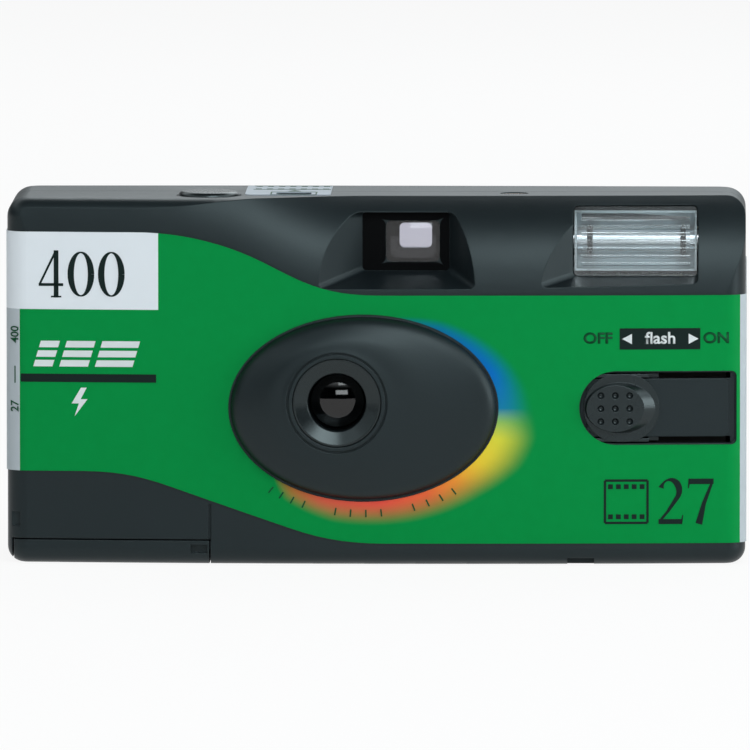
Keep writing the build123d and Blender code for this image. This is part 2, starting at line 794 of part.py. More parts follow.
def film_strip():
    """The film between the cassette and the roll, perforated along both edges."""
    x0 = cassette_x + 2 * lip_root
    x1 = supply_x
    strip = block(x0, x1, film_face_y, film_back_y, film_bottom_z, film_top_z)
    count = int((x1 - x0) / perforation_pitch)
    holes = []
    for index in range(count):
        hole_x = x0 + (index + 1 / 2) * perforation_pitch
        for edge_z in (film_bottom_z + perforation_margin,
                       film_top_z - perforation_margin - perforation_height):
            holes.append(block(hole_x - perforation_length / 2, hole_x + perforation_length / 2,
                               film_face_y - cut_overrun, film_back_y + cut_overrun, edge_z,
                               edge_z + perforation_height))
    pass_half = sqrt(sprocket_tip_radius**2 - (film_face_y - sprocket_y) ** 2) + running_gap
    holes.append(block(sprocket_x - pass_half, sprocket_x + pass_half, film_face_y - cut_overrun,
                       film_back_y + cut_overrun, sprocket_z - perforation_height / 2,
                       sprocket_z + perforation_height / 2))
    return strip - holes


def film_roll():
    """The film wound on the supply spool."""
    return tube_z(supply_x, supply_y, film_bottom_z, film_top_z, roll_radius, supply_core_radius)


def supply_spool():
    """Core of the film roll, with a pivot pin at each end."""
    z0 = roll_floor_z + seam_gap
    z1 = deck_bottom_z - seam_gap
    core = rod_z(supply_x, supply_y, z0, z1, supply_core_radius)
    core -= block(supply_x - supply_slot_width / 2, supply_x + supply_slot_width / 2, supply_y,
                  supply_y + supply_core_radius / 2, z0 - cut_overrun, z1 + cut_overrun)
    return core + rod_z(supply_x, supply_y, z0 - roll_plate, z1 + deck_thickness, supply_pin_radius)


def sprocket_wheel():
    """Film sprocket with its shaft, shutter cam and the finger that steps the counter."""
    half = sprocket_thickness / 2
    wheel = rod_z(sprocket_x, sprocket_y, sprocket_z - half, sprocket_z + half, sprocket_root_radius)
    for index in range(sprocket_tooth_count):
        angle = (index + 1 / 2) * 360 / sprocket_tooth_count
        tooth = block(sprocket_root_radius / 2, sprocket_tip_radius, -sprocket_tooth_width / 2,
                      sprocket_tooth_width / 2, -half, half)
        wheel += Pos(sprocket_x, sprocket_y, sprocket_z) * Rot(0, 0, angle) * tooth
    wheel += rod_z(sprocket_x, sprocket_y, sprocket_z - half - pivot_depth, sprocket_z, pivot_radius)
    wheel += rod_z(sprocket_x, sprocket_y, sprocket_z, dial_bottom_z + dial_thickness, shaft_radius)
    cam = rod_z(sprocket_x, sprocket_y, cam_bottom_z, cam_bottom_z + cam_thickness, cam_radius)
    cam -= block(sprocket_x + cam_flat, sprocket_x + 2 * cam_radius, sprocket_y - cam_radius,
                 sprocket_y + cam_radius, cam_bottom_z - cut_overrun,
                 cam_bottom_z + cam_thickness + cut_overrun)
    finger = block(sprocket_x, sprocket_x + finger_radius, sprocket_y - finger_width / 2,
                   sprocket_y + finger_width / 2, dial_bottom_z, dial_bottom_z + dial_thickness)
    return wheel + cam + finger


# %% Frame counter, button and ratchet
dial_from_sprocket_x = 6.8
dial_from_sprocket_y = 6.15
dial_radius = 6.6
dial_tooth_count = 30
dial_tooth_depth = 0.5
dial_tooth_profile_shares = ((0.0, 0.0), (0.25, 1.0), (0.5, 1.0), (0.75, 0.0))
dial_post_radius = 1.4
dial_shoulder_radius = 2.6
counter_from_dial = 4.8
counter_width = 5.0
counter_depth = 3.4
counter_flange = 0.7
counter_flange_thickness = 0.4
counter_corner_radius = 0.6

button_left = 18.95
button_x = lens_x - button_left
button_setback = 9.1
button_y = front_crest_y + button_setback
button_radius = 4.55
button_hole_gap = 0.2
flange_radius = 5.5
flange_thickness = 0.6
button_crown_radius = 0.8
stem_left = 16.4
stem_x = lens_x - stem_left
stem_setback = 3.7
stem_y = front_crest_y + stem_setback
stem_width = 2.0
stem_depth = 1.6
spring_left = 17.6
spring_x = lens_x - spring_left
spring_setback = 8.4
spring_y = front_crest_y + spring_setback
spring_mean_radius = 2.2
spring_wire_radius = 0.22
spring_turn_count = 5
spring_seat_drop = 7.0
spring_seat_z = body_height - spring_seat_drop
spring_pin_radius = 1.5
spring_pin_height = 2.6
spring_seat_radius = 2.8

pawl_right = 15.1
pawl_x = cassette_x + pawl_right
pawl_inset = 6.35
pawl_y = back_crest_y - pawl_inset
pawl_tip_angle_deg = 40.0
pawl_tip_gap = 0.3
pawl_width = 1.6
pawl_boss_radius = 1.7
pawl_drop = 5.9
pawl_bottom_z = body_height - pawl_drop
pawl_thickness = 1.8
pawl_pin_radius = 0.7
pawl_post_radius = 1.2

lamp_right = 25.6
lamp_x = lens_x + lamp_right
lamp_setback = 13.4
lamp_y = front_crest_y + lamp_setback
lamp_radius = 2.0
lamp_flange_radius = 2.6
lamp_flange_thickness = 0.7
lamp_drop = 9.2
lamp_bottom_z = body_height - lamp_drop

dial_x = sprocket_x + dial_from_sprocket_x
dial_y = sprocket_y - dial_from_sprocket_y
counter_y = dial_y - counter_from_dial
top_inner_z = body_height - wall
flange_top_z = top_inner_z - fit_gap
flange_bottom_z = flange_top_z - flange_thickness


def counter_dial():
    """Toothed disc that carries the frame numbers."""
    points = []
    step = 2 * pi / dial_tooth_count
    for index in range(dial_tooth_count):
        for along, up in dial_tooth_profile_shares:
            radius = dial_radius - (1 - up) * dial_tooth_depth
            angle = (index + along) * step
            points.append((dial_x + radius * cos(angle), dial_y + radius * sin(angle)))
    disc = top_prism(make_face(Polyline(*points, close=True)), dial_bottom_z, dial_bottom_z + dial_thickness)
    return disc - rod_z(dial_x, dial_y, dial_bottom_z - cut_overrun, dial_bottom_z + 2 * cut_overrun,
                        dial_post_radius + fit_gap)


def counter_hole(margin, z0, z1):
    """The counter window's rounded opening in the top."""
    outline = RectangleRounded(counter_width + 2 * margin, counter_depth + 2 * margin, counter_corner_radius)
    return top_prism(Pos(dial_x, counter_y) * outline, z0, z1)


def counter_window():
    """Clear window over the counter, with a flange under the top wall."""
    window = counter_hole(-seam_gap, top_inner_z - fit_gap, body_height - seam_gap)
    flange_z = top_inner_z - seam_gap / 2
    return window + counter_hole(counter_flange, flange_z - counter_flange_thickness, flange_z)


def shutter_button():
    """Round button with a flange under the top wall and a stem down to the kick lever."""
    cap = rod_z(button_x, button_y, flange_bottom_z, overall_height, button_radius)
    cap = fillet(cap.edges().group_by(Axis.Z)[-1], button_crown_radius)
    cap += rod_z(button_x, button_y, flange_bottom_z, flange_top_z, flange_radius)
    return cap + block(stem_x - stem_width / 2, stem_x + stem_width / 2, stem_y - stem_depth / 2,
                       stem_y + stem_depth / 2, stem_bottom_z, flange_bottom_z)


def button_spring():
    """Compression spring between the deck and the button's flange."""
    spring = coil(spring_seat_z + seam_gap / 2, flange_bottom_z - seam_gap / 2, spring_mean_radius,
                  spring_wire_radius, spring_turn_count)
    return Pos(spring_x, spring_y) * spring


def ratchet_pawl():
    """Small arm that lets the thumbwheel turn one way only."""
    angle = radians(pawl_tip_angle_deg)
    tip_radius = wheel_radius + pawl_tip_gap + pawl_width / 2
    tip = (cassette_x + tip_radius * cos(angle), cassette_y + tip_radius * sin(angle))
    pawl = top_prism(bar((pawl_x, pawl_y), tip, pawl_width), pawl_bottom_z, pawl_bottom_z + pawl_thickness)
    pawl += rod_z(pawl_x, pawl_y, pawl_bottom_z, pawl_bottom_z + pawl_thickness, pawl_boss_radius)
    return pawl - rod_z(pawl_x, pawl_y, pawl_bottom_z - cut_overrun, pawl_bottom_z + 2 * cut_overrun,
                        pawl_pin_radius + seam_gap)


def ready_lamp():
    """Light guide of the flash lamp, with a flange under the top wall."""
    guide = rod_z(lamp_x, lamp_y, lamp_bottom_z, body_height - seam_gap, lamp_radius)
    flange_z = top_inner_z - seam_gap
    return guide + rod_z(lamp_x, lamp_y, flange_z - lamp_flange_thickness, flange_z, lamp_flange_radius)


# %% Taking lens and shutter
ring_outer_radius = 6.4
ring_mouth_radius = 6.1
ring_throat_radius = 4.2
ring_front_gap = 0.25
ring_dish_depth = 0.95
ring_edge_radius = 0.25
ring_setback = 0.4
ring_rear_y = front_crest_y + ring_setback
taking_lens_radius = 3.9
taking_lens_thickness = 1.5
taking_lens_curve_radius = 8.5
taking_lens_lip = 0.65
cup_outer_radius = 4.8
cup_setback = 2.1
cup_rear_y = front_crest_y + cup_setback
aperture_thickness = 0.4
aperture_radius = 1.6
aperture_left = 5.3
aperture_left_x = lens_x - aperture_left
aperture_right = 9.0
aperture_right_x = lens_x + aperture_right
aperture_below = 7.0
aperture_bottom_z = lens_z - aperture_below
aperture_above = 7.0
aperture_top_z = lens_z + aperture_above
aperture_corner_radius = 2.5
aperture_post_radius = 1.0
aperture_post_places_shares = ((0.88, 0.84), (0.88, 0.16))

plate_setback = 3.8
plate_front_y = front_crest_y + plate_setback
plate_thickness = 1.0
plate_left = 17.4
plate_left_x = lens_x - plate_left
plate_right = 14.6
plate_right_x = lens_x + plate_right
plate_below = 9.8
plate_bottom_z = lens_z - plate_below
plate_above = 15.2
plate_top_z = lens_z + plate_above
light_hole_width = 8.0
light_hole_height = 6.0

blade_pivot_left = 7.0
blade_pivot_x = lens_x - blade_pivot_left
blade_pivot_rise = 6.0
blade_pivot_z = lens_z + blade_pivot_rise
blade_thickness = 0.3
blade_gap = 0.5
blade_rear_y = plate_front_y - blade_gap
blade_disc_radius = 2.6
blade_arm_width = 2.0
blade_tab_height = 4.4
blade_tab_width = 1.4
blade_boss_radius = 1.6
lever_pivot_left = 3.0
lever_pivot_x = blade_pivot_x - lever_pivot_left
lever_pivot_rise = 8.0
lever_pivot_z = blade_pivot_z + lever_pivot_rise
lever_thickness = 0.6
lever_gap = 0.35
lever_rear_y = plate_front_y - lever_gap
lever_arm_width = 1.5
lever_arm_length = 4.6
lever_catch_x = stem_x
lever_catch_rise = 3.9
lever_catch_z = lever_pivot_z + lever_catch_rise
lever_boss_radius = 1.8
stem_clearance = 2.5
stem_bottom_z = lever_catch_z + stem_clearance
strike_gap = 0.45
pin_radius = 0.7
pin_reach = 2.05
pin_front_y = plate_front_y - pin_reach
torsion_mean_radius = 1.15
torsion_wire_radius = 0.13
torsion_turn_count = 2
torsion_leg_length = 2.6
torsion_gap = 0.04

sync_reach = 3.5
sync_left_x = board_left_x - sync_reach
sync_rise = 6.0
sync_bottom_z = lens_z + sync_rise
sync_width = 1.2
sync_spacing = 2.6
sync_overlap = 3.0
sync_thickness = 0.2


def lens_ring():
    """Black ring pressed into the mound: a shallow dish that leads into the bore in front of the lens."""
    front = front_crest_y - mound_height + ring_front_gap
    ring = rod_y(lens_x, lens_z, front, ring_rear_y, ring_outer_radius)
    ring -= cone_y(lens_x, lens_z, front, ring_mouth_radius, front + ring_dish_depth, ring_throat_radius)
    ring -= rod_y(lens_x, lens_z, front, ring_rear_y + cut_overrun, ring_throat_radius)
    dish_rim = [edge for edge in ring.edges().filter_by(GeomType.CIRCLE)
                if abs(edge.center().Y - front - ring_dish_depth) < ring_front_gap]
    return fillet(dish_rim, ring_edge_radius)


def taking_lens():
    """Plastic lens with a domed front face."""
    front = ring_rear_y + seam_gap
    rear = front + taking_lens_thickness
    blank = rod_y(lens_x, lens_z, front - taking_lens_thickness, rear, taking_lens_radius)
    dome_y = front - taking_lens_thickness / 2 + taking_lens_curve_radius
    dome = blank & (Pos(lens_x, dome_y, lens_z) * Sphere(taking_lens_curve_radius))
    return dome - tube_y(lens_x, lens_z, front - taking_lens_thickness, front,
                         2 * taking_lens_radius, ring_throat_radius - taking_lens_lip)


def aperture_plate():
    """Plate with the lens cup in front, the aperture in its middle and two posts to the chassis."""
    outline = rounded_between(aperture_left_x, aperture_right_x, aperture_bottom_z, aperture_top_z,
                              aperture_corner_radius)
    plate = front_prism(outline, cup_rear_y, cup_rear_y + aperture_thickness)
    plate += tube_y(lens_x, lens_z, ring_rear_y + seam_gap, cup_rear_y, cup_outer_radius,
                    taking_lens_radius + seam_gap)
    for u, v in aperture_post_places_shares:
        x = aperture_left_x + u * (aperture_right_x - aperture_left_x)
        z = aperture_bottom_z + v * (aperture_top_z - aperture_bottom_z)
        plate += rod_y(x, z, cup_rear_y, plate_front_y, aperture_post_radius)
    return plate - rod_y(lens_x, lens_z, cup_rear_y - cut_overrun, cup_rear_y + cut_overrun, aperture_radius)


def shutter_blade():
    """Thin blade that covers the aperture, with a tab for the kick lever."""
    pivot = (blade_pivot_x, blade_pivot_z)
    y0 = blade_rear_y - blade_thickness
    blade = front_prism(bar(pivot, (lens_x, lens_z), blade_arm_width), y0, blade_rear_y)
    blade += rod_y(lens_x, lens_z, y0, blade_rear_y, blade_disc_radius)
    blade += rod_y(*pivot, y0, blade_rear_y, blade_boss_radius)
    tab_top = blade_pivot_z + blade_tab_height
    blade += block(blade_pivot_x - blade_tab_width / 2, blade_pivot_x + blade_tab_width / 2, y0, blade_rear_y,
                   blade_pivot_z, tab_top)
    return blade - rod_y(*pivot, y0 - cut_overrun, blade_rear_y + cut_overrun, pin_radius + seam_gap)


def kick_lever():
    """Sprung lever: its catch arm lies under the button's stem and its lower arm strikes the blade's tab."""
    pivot = (lever_pivot_x, lever_pivot_z)
    y0 = lever_rear_y - lever_thickness
    strike_x = blade_pivot_x - blade_tab_width / 2 - strike_gap - lever_arm_width / 2
    strike = (strike_x, lever_pivot_z - lever_arm_length)
    lever = front_prism(bar(pivot, strike, lever_arm_width), y0, lever_rear_y)
    lever += front_prism(bar(pivot, (lever_catch_x, lever_catch_z), lever_arm_width), y0, lever_rear_y)
    lever += rod_y(*pivot, y0, lever_rear_y, lever_boss_radius)
    return lever - rod_y(*pivot, y0 - cut_overrun, lever_rear_y + cut_overrun, pin_radius + seam_gap)


def torsion_spring(x, z, rear_y):
    """Small torsion spring round a pin: one wire that leaves the winding along its tangent at both ends."""
    rise = (2 * torsion_wire_radius + torsion_gap) * torsion_turn_count
    winding = Helix(rise / torsion_turn_count, rise, torsion_mean_radius)
    first_leg = Line(winding @ 0 - (winding % 0) * torsion_leg_length, winding @ 0)
    last_leg = Line(winding @ 1, winding @ 1 + (winding % 1) * torsion_leg_length)
    path = Wire([first_leg, winding, last_leg])
    wire = sweep(Plane(first_leg @ 0, z_dir=first_leg % 0) * Circle(torsion_wire_radius), path=path,
                 is_frenet=True)
    return Pos(x, rear_y - wire.bounding_box().max.Z, z) * Rot(-90, 0, 0) * wire


def sync_contacts():
    """Two leaf contacts from the board towards the shutter."""
    leaves = []
    for index in range(2):
        z = sync_bottom_z + index * sync_spacing
        leaves.append(block(sync_left_x, board_left_x + sync_overlap, board_front_y - sync_thickness,
                            board_front_y, z, z + sync_width))
    return Compound(leaves)


# %% Chassis
chassis_gap = 0.2
tunnel_wall = 1.0
gate_plate_thickness = 1.2
gate_left = 23.4
gate_left_x = lens_x - gate_left
gate_right = 20.6
gate_right_x = lens_x + gate_right
rail_height = 0.8
rail_depth = 0.5
rail_gap = 0.2
deck_drop = 10.7
deck_bottom_z = body_height - deck_drop
deck_thickness = 1.2
deck_setback = 4.8
deck_front_y = front_crest_y + deck_setback
deck_right_x = flash_recess[0] - wall - 2 * chassis_gap
deck_inset = 3.85
deck_rear_y = back_crest_y - deck_inset
chamber_gap = 0.3
chamber_wall = 1.0
chamber_low_z = 5.0
chamber_span_deg = 50.0
roll_gap = 0.95
roll_wall = 0.9
roll_plate = 1.0
roll_floor_z = 5.0
bay_gap = 0.35
bay_wall = 0.8
bay_inset = 4.65
bay_open_y = back_crest_y - bay_inset
web_thickness = 1.2
foot_thickness = 1.2
foot_x_shares = (0.25, 0.95)
saddle_thickness = 1.0
saddle_x_shares = (0.2, 0.8)
bracket_drop = 12.4
bracket_bottom_z = body_height - bracket_drop
bracket_gap = 0.2
pivot_depth = 1.2
pivot_boss_radius = 2.3
pivot_boss_height = 3.2

chamber_inner_radius = cap_radius + chamber_gap
chamber_outer_radius = chamber_inner_radius + chamber_wall
roll_inner_radius = roll_radius + roll_gap
roll_outer_radius = roll_inner_radius + roll_wall
bay_inner_radius = battery_radius + bay_gap
bay_outer_radius = bay_inner_radius + bay_wall
deck_top_z = deck_bottom_z + deck_thickness
chamber_low_top_z = wheel_deck_bottom_z + wheel_deck_thickness


def light_tunnel(margin, reach):
    """The four-sided tunnel from the lens to the film gate, grown by a margin for its wall."""
    front = grown((lens_x - light_hole_width / 2, lens_x + light_hole_width / 2,
                   lens_z - light_hole_height / 2, lens_z + light_hole_height / 2), margin)
    rear = grown((lens_x - gate_half_length, lens_x + gate_half_length, lens_z - gate_half_height,
                  lens_z + gate_half_height), margin)
    return funnel(front, plate_front_y - reach, rear, film_face_y - rail_gap + reach, recess_corner_radius)


def cassette_chamber():
    """Curved wall between the cassette and the light tunnel, with the plate that carries the thumbwheel."""
    ring = tube_z(cassette_x, cassette_y, chamber_low_z, chamber_low_top_z, chamber_outer_radius,
                  chamber_inner_radius)
    span = radians(chamber_span_deg)
    reach = 2 * chamber_outer_radius
    wedge = make_face(Polyline((cassette_x, cassette_y), (cassette_x + reach, cassette_y - reach * tan(span)),
                               (cassette_x + reach, cassette_y + reach * tan(span)), close=True))
    wall_part = ring & top_prism(wedge, chamber_low_z, chamber_low_top_z)
    plate = tube_z(cassette_x, cassette_y, wheel_deck_bottom_z, chamber_low_top_z,
                   chamber_inner_radius + fit_gap, collar_radius + fit_gap)
    return wall_part + plate


def roll_chamber():
    """Round chamber of the film roll, open towards the back."""
    ring = tube_z(supply_x, supply_y, roll_floor_z - roll_plate, deck_top_z, roll_outer_radius,
                  roll_inner_radius)
    ring += rod_z(supply_x, supply_y, roll_floor_z - roll_plate, roll_floor_z, roll_outer_radius)
    rear_y = film_face_y - rail_gap - gate_plate_thickness
    ring -= block(supply_x - 2 * roll_radius, supply_x + 2 * roll_radius, rear_y, rear_y + 2 * roll_radius,
                  roll_floor_z - 2 * roll_plate, deck_top_z + cut_overrun)
    return ring - rod_z(supply_x, supply_y, roll_floor_z - 2 * roll_plate, roll_floor_z + cut_overrun,
                        supply_pin_radius + fit_gap)


def battery_bay():
    """Open cradle round the cell, with a floor and a roof that carry the contacts."""
    roof_z = battery_top_z + 2 * contact_thickness
    bay = tube_z(battery_x, battery_y, bay_floor_z, roof_z + bay_plate, bay_outer_radius, bay_inner_radius)
    for z in (bay_floor_z, roof_z):
        bay += rod_z(battery_x, battery_y, z, z + bay_plate, bay_outer_radius)
    bay -= block(battery_x - 2 * battery_radius, battery_x + 2 * battery_radius, bay_open_y,
                 bay_open_y + 2 * battery_radius, bay_floor_z - cut_overrun, roof_z + bay_plate + cut_overrun)
    for z in (bay_floor_z + bay_plate, roof_z - contact_thickness):
        bay -= block(battery_x - contact_width / 2 - fit_gap, battery_x + contact_width / 2 + fit_gap,
                     battery_y - 2 * battery_radius, bay_open_y, z - contact_slot_gap,
                     z + contact_thickness + contact_slot_gap)
    tail_x = battery_x - contact_width / 2
    bay -= block(tail_x - fit_gap, tail_x + contact_tail_width + fit_gap, battery_y - 2 * battery_radius,
                 battery_y - contact_width / 2, bay_floor_z + bay_plate - fit_gap, roof_z)
    web_x0 = supply_x + roll_inner_radius
    web_x1 = battery_x - bay_inner_radius
    return bay + block(web_x0, web_x1, battery_y - web_thickness, battery_y, roll_floor_z, deck_bottom_z)


def chassis(clear_space):
    """The inner frame: front plate, light tunnel, film gate, chambers, deck, posts and feet."""
    gate_y = film_face_y - rail_gap
    frame = block(plate_left_x, plate_right_x, plate_front_y, plate_front_y + plate_thickness,
                  plate_bottom_z, plate_top_z)
    frame += rod_y(lever_pivot_x, lever_pivot_z, plate_front_y, plate_front_y + plate_thickness,
                   lever_boss_radius)
    frame += light_tunnel(tunnel_wall, 0)
    frame += block(gate_left_x, gate_right_x, gate_y - gate_plate_thickness, gate_y, roll_floor_z,
                   deck_top_z)
    for rail_z in (film_bottom_z - rail_gap - rail_height, film_top_z + rail_gap):
        frame += block(gate_left_x, gate_right_x, gate_y, gate_y + rail_depth, rail_z, rail_z + rail_height)
    frame += cassette_chamber()
    neck_x = cassette_x + chamber_inner_radius * cos(radians(chamber_span_deg))
    neck_y = cassette_y + chamber_inner_radius * sin(radians(chamber_span_deg))
    frame += block(neck_x, gate_left_x + gate_plate_thickness, neck_y - chamber_wall, gate_y, roll_floor_z,
                   deck_top_z) - rod_z(cassette_x, cassette_y, 0, body_height, chamber_inner_radius)
    frame += roll_chamber()
    frame += battery_bay()
    deck = block(cassette_x + chamber_inner_radius, deck_right_x, deck_front_y, deck_rear_y, deck_bottom_z,
                 deck_top_z)
    deck += block(deck_right_x, supply_x + roll_outer_radius, supply_y, deck_rear_y, deck_bottom_z,
                  deck_top_z)
    frame += deck
    bottom_z = wall + chassis_gap
    for share in foot_x_shares:
        x = gate_left_x + share * (gate_right_x - gate_left_x)
        frame += block(x - foot_thickness, x, capacitor_y + capacitor_radius + saddle_thickness, gate_y,
                       bottom_z, roll_floor_z + foot_thickness)
    for share in saddle_x_shares:
        x = capacitor_right_x - capacitor_length * share
        saddle = block(x - saddle_thickness, x, plate_front_y + plate_thickness / 2,
                       capacitor_y + capacitor_radius, capacitor_z, lens_z - light_hole_height / 2)
        frame += saddle - rod_x(capacitor_y, capacitor_z, x - cut_overrun, x + cut_overrun,
                                capacitor_radius + fit_gap)
    frame += block(flash_x - reflector_half_width, flash_x + reflector_half_width,
                   supply_y - roll_outer_radius, flash_tube_y + 2 * flash_tube_radius, bracket_bottom_z,
                   flash_tube_z - reflector_half_height - bracket_gap)
    frame -= block(flash_x - reflector_half_width - chassis_gap, overall_width, -overall_depth,
                   reflector_mouth_y + reflector_depth + chassis_gap,
                   flash_tube_z - reflector_half_height - bracket_gap, overall_height)
    frame -= light_tunnel(0, cut_overrun / 2)
    frame -= rod_z(cassette_x, cassette_y, cassette_bottom_z, wheel_deck_bottom_z, chamber_inner_radius)
    frame -= rod_z(supply_x, supply_y, roll_floor_z, deck_bottom_z, roll_inner_radius)
    frame -= rod_z(battery_x, battery_y, bay_floor_z + bay_plate, battery_top_z + contact_thickness,
                   bay_inner_radius)
    frame += rod_z(sprocket_x, sprocket_y, sprocket_z - sprocket_thickness / 2 - pivot_boss_height,
                   sprocket_z - sprocket_thickness / 2 - chassis_gap, pivot_boss_radius)
    frame -= rod_z(sprocket_x, sprocket_y, sprocket_z - sprocket_thickness / 2 - chassis_gap,
                   sprocket_z + sprocket_thickness / 2 + chassis_gap, sprocket_tip_radius + running_gap)
    frame -= rod_z(sprocket_x, sprocket_y, sprocket_z - sprocket_thickness / 2 - pivot_depth - chassis_gap,
                   sprocket_z, pivot_radius + seam_gap)
    frame -= rod_z(sprocket_x, sprocket_y, deck_bottom_z - cut_overrun, deck_top_z + cut_overrun,
                   shaft_radius + fit_gap)
    frame -= rod_z(supply_x, supply_y, deck_bottom_z - cut_overrun, deck_top_z + cut_overrun,
                   supply_pin_radius + fit_gap)
    frame += chassis_posts()
    frame -= funnel(eyepiece_seat(tunnel_skin + chassis_gap), tunnel_rear_y + cut_overrun,
                    viewfinder_seat(tunnel_skin + chassis_gap), tunnel_front_y - cut_overrun,
                    recess_corner_radius)
    return (frame & clear_space) - viewfinder_funnel(wall + chassis_gap)


def chassis_posts():
    """Pins and posts that stand on the chassis."""
    posts = rod_z(dial_x, dial_y, deck_bottom_z, dial_bottom_z - seam_gap, dial_shoulder_radius)
    posts += rod_z(dial_x, dial_y, deck_bottom_z, dial_bottom_z + dial_thickness + seam_gap, dial_post_radius)
    posts += rod_z(spring_x, spring_y, deck_bottom_z, spring_seat_z, spring_seat_radius)
    posts += rod_z(spring_x, spring_y, deck_bottom_z, spring_seat_z + spring_pin_height, spring_pin_radius)
    posts += rod_z(pawl_x, pawl_y, deck_bottom_z, pawl_bottom_z - seam_gap, pawl_post_radius)
    posts += rod_z(pawl_x, pawl_y, deck_bottom_z, pawl_bottom_z + pawl_thickness + seam_gap, pawl_pin_radius)
    for x, z in ((blade_pivot_x, blade_pivot_z), (lever_pivot_x, lever_pivot_z)):
        posts += rod_y(x, z, pin_front_y, plate_front_y + plate_thickness / 2, pin_radius)
    for x, z in post_places:
        chamber_y = supply_y - sqrt(roll_inner_radius**2 - min(abs(x - supply_x), roll_inner_radius) ** 2)
        posts += rod_y(x, z, board_back_y, chamber_y, post_radius)
        posts += rod_y(x, z, board_front_y - seam_gap, board_back_y, post_radius / 2)
    return posts


# %% Flash switch, laid out on a plane that follows the bowed front
switch_inset = 12.45
switch_x = half_width - switch_inset
switch_below = 1.0
switch_z = lens_z - switch_below
switch_travel = 10.0
switch_face_depth = 0.5
switch_pocket_length = 23.2
switch_pocket_height = 10.4
switch_end_inset = 0.6
switch_end_radius = 0.8
switch_plate_length = 21.2
switch_plate_height = 8.5
switch_groove_depth = 0.9
switch_slot_length = 20.6
switch_slot_height = 0.9
switch_leg_thickness = 0.5
knob_left = 5.6
knob_length = 11.0
knob_corner_radius = 4.9
knob_leg_length = 8.0
knob_height = 7.6
knob_top_length = 8.4
knob_top_height = 6.8
knob_top_left = 1.0
knob_base_rise = 0.35
knob_rise = 1.0
knob_face_gap = 0.2
knob_dimple_radius = 0.5
knob_dimple_pitch = 2.1
knob_dimple_row_pitch = 1.9
knob_dimple_column_count = 3
knob_dimple_row_count = 3
knob_back_depth = 2.4
knob_back_thickness = 0.7
contact_leaf_depth = 0.35
contact_leaf_height = 4.0
contact_bump_radius = 0.35
switch_label_gap = 0.4

switch_slope = (front_y(switch_x + switch_travel) - front_y(switch_x - switch_travel)) / (2 * switch_travel)
switch_plane = Plane((switch_x, front_y(switch_x), switch_z), x_dir=(1, switch_slope, 0),
                     z_dir=(switch_slope, -1, 0))
switch_slot_v = switch_plate_height / 2 + switch_slot_height / 2
knob_rest_u = -knob_left
knob_top_u = knob_rest_u - knob_top_left


def switch_solid(sketch, w0, w1):
    """A shape drawn on the switch plane, solid between two distances outward from the front face."""
    return extrude(switch_plane.offset(w0) * sketch, w1 - w0)


def switch_outline(margin):
    """Outline of the pocket: round at its left end, and cut off square at its right end."""
    length = switch_pocket_length + margin
    height = switch_pocket_height + margin
    left_half = Pos(-length / 2, 0) * Rectangle(length, 2 * height)
    right_end = rounded_between(-height / 2, length / 2 - switch_end_inset, -height / 2, height / 2,
                                switch_end_radius)
    return (SlotOverall(length, height) & left_half) + right_end


def switch_cut():
    """Pocket, groove and the two slots that the knob's legs run in."""
    pocket = switch_solid(switch_outline(0), -switch_face_depth, wall)
    ring = switch_outline(0) - rounded_between(
        -switch_plate_length / 2, switch_plate_length / 2 - switch_end_inset, -switch_plate_height / 2,
        switch_plate_height / 2, recess_corner_radius)
    cut = pocket + switch_solid(ring, -switch_groove_depth, 0)
    for side in (-1, 1):
        slot = Pos(0, side * switch_slot_v) * Rectangle(switch_slot_length, switch_slot_height)
        cut += switch_solid(slot, -2 * wall, wall)
    return cut


def flash_switch():
    """Sliding knob: a dimpled pad with a sloped side, two legs through the slots, a plate behind the wall."""
    centre = Pos(knob_rest_u, 0)
    base_height = 2 * switch_slot_v + switch_leg_thickness
    face = knob_face_gap - switch_face_depth
    base = RectangleRounded(knob_length, base_height, knob_corner_radius)
    knob = switch_solid(centre * base, face, face + knob_base_rise)
    top = face + knob_base_rise + knob_rise
    pad_foot = switch_plane.offset(face) * centre * Ellipse(knob_length / 2, knob_height / 2)
    pad_top = switch_plane.offset(top) * Pos(knob_top_u, 0) * Ellipse(knob_top_length / 2, knob_top_height / 2)
    knob += loft([pad_foot, pad_top], ruled=True)
    knob += switch_solid(centre * Rectangle(knob_length, base_height), -knob_back_depth,
                         knob_back_thickness - knob_back_depth)
    for side in (-1, 1):
        leg = Pos(knob_rest_u, side * switch_slot_v) * Rectangle(knob_leg_length, switch_leg_thickness)
        knob += switch_solid(leg, -knob_back_depth, face + knob_base_rise / 2)
    for column in range(knob_dimple_column_count):
        for row in range(knob_dimple_row_count):
            u = knob_top_u + (column - (knob_dimple_column_count - 1) / 2) * knob_dimple_pitch
            v = (row - (knob_dimple_row_count - 1) / 2) * knob_dimple_row_pitch
            place = switch_plane.from_local_coords(Vector(u, v, top))
            knob -= Pos(*place) * Sphere(knob_dimple_radius)
    return knob


def switch_contact():
    """Leaf contact on the back of the knob, with two bumps towards the board."""
    leaf = Pos(knob_rest_u, 0) * Rectangle(knob_length - 2 * contact_bump_radius, contact_leaf_height)
    rear = -knob_back_depth - contact_leaf_depth
    contact = switch_solid(leaf, rear, -knob_back_depth)
    for side in (-1, 1):
        bump_v = side * (contact_leaf_height / 2 - contact_bump_radius)
        place = switch_plane.from_local_coords(Vector(knob_rest_u, bump_v, rear))
        contact += Pos(*place) * Sphere(contact_bump_radius)
    return contact


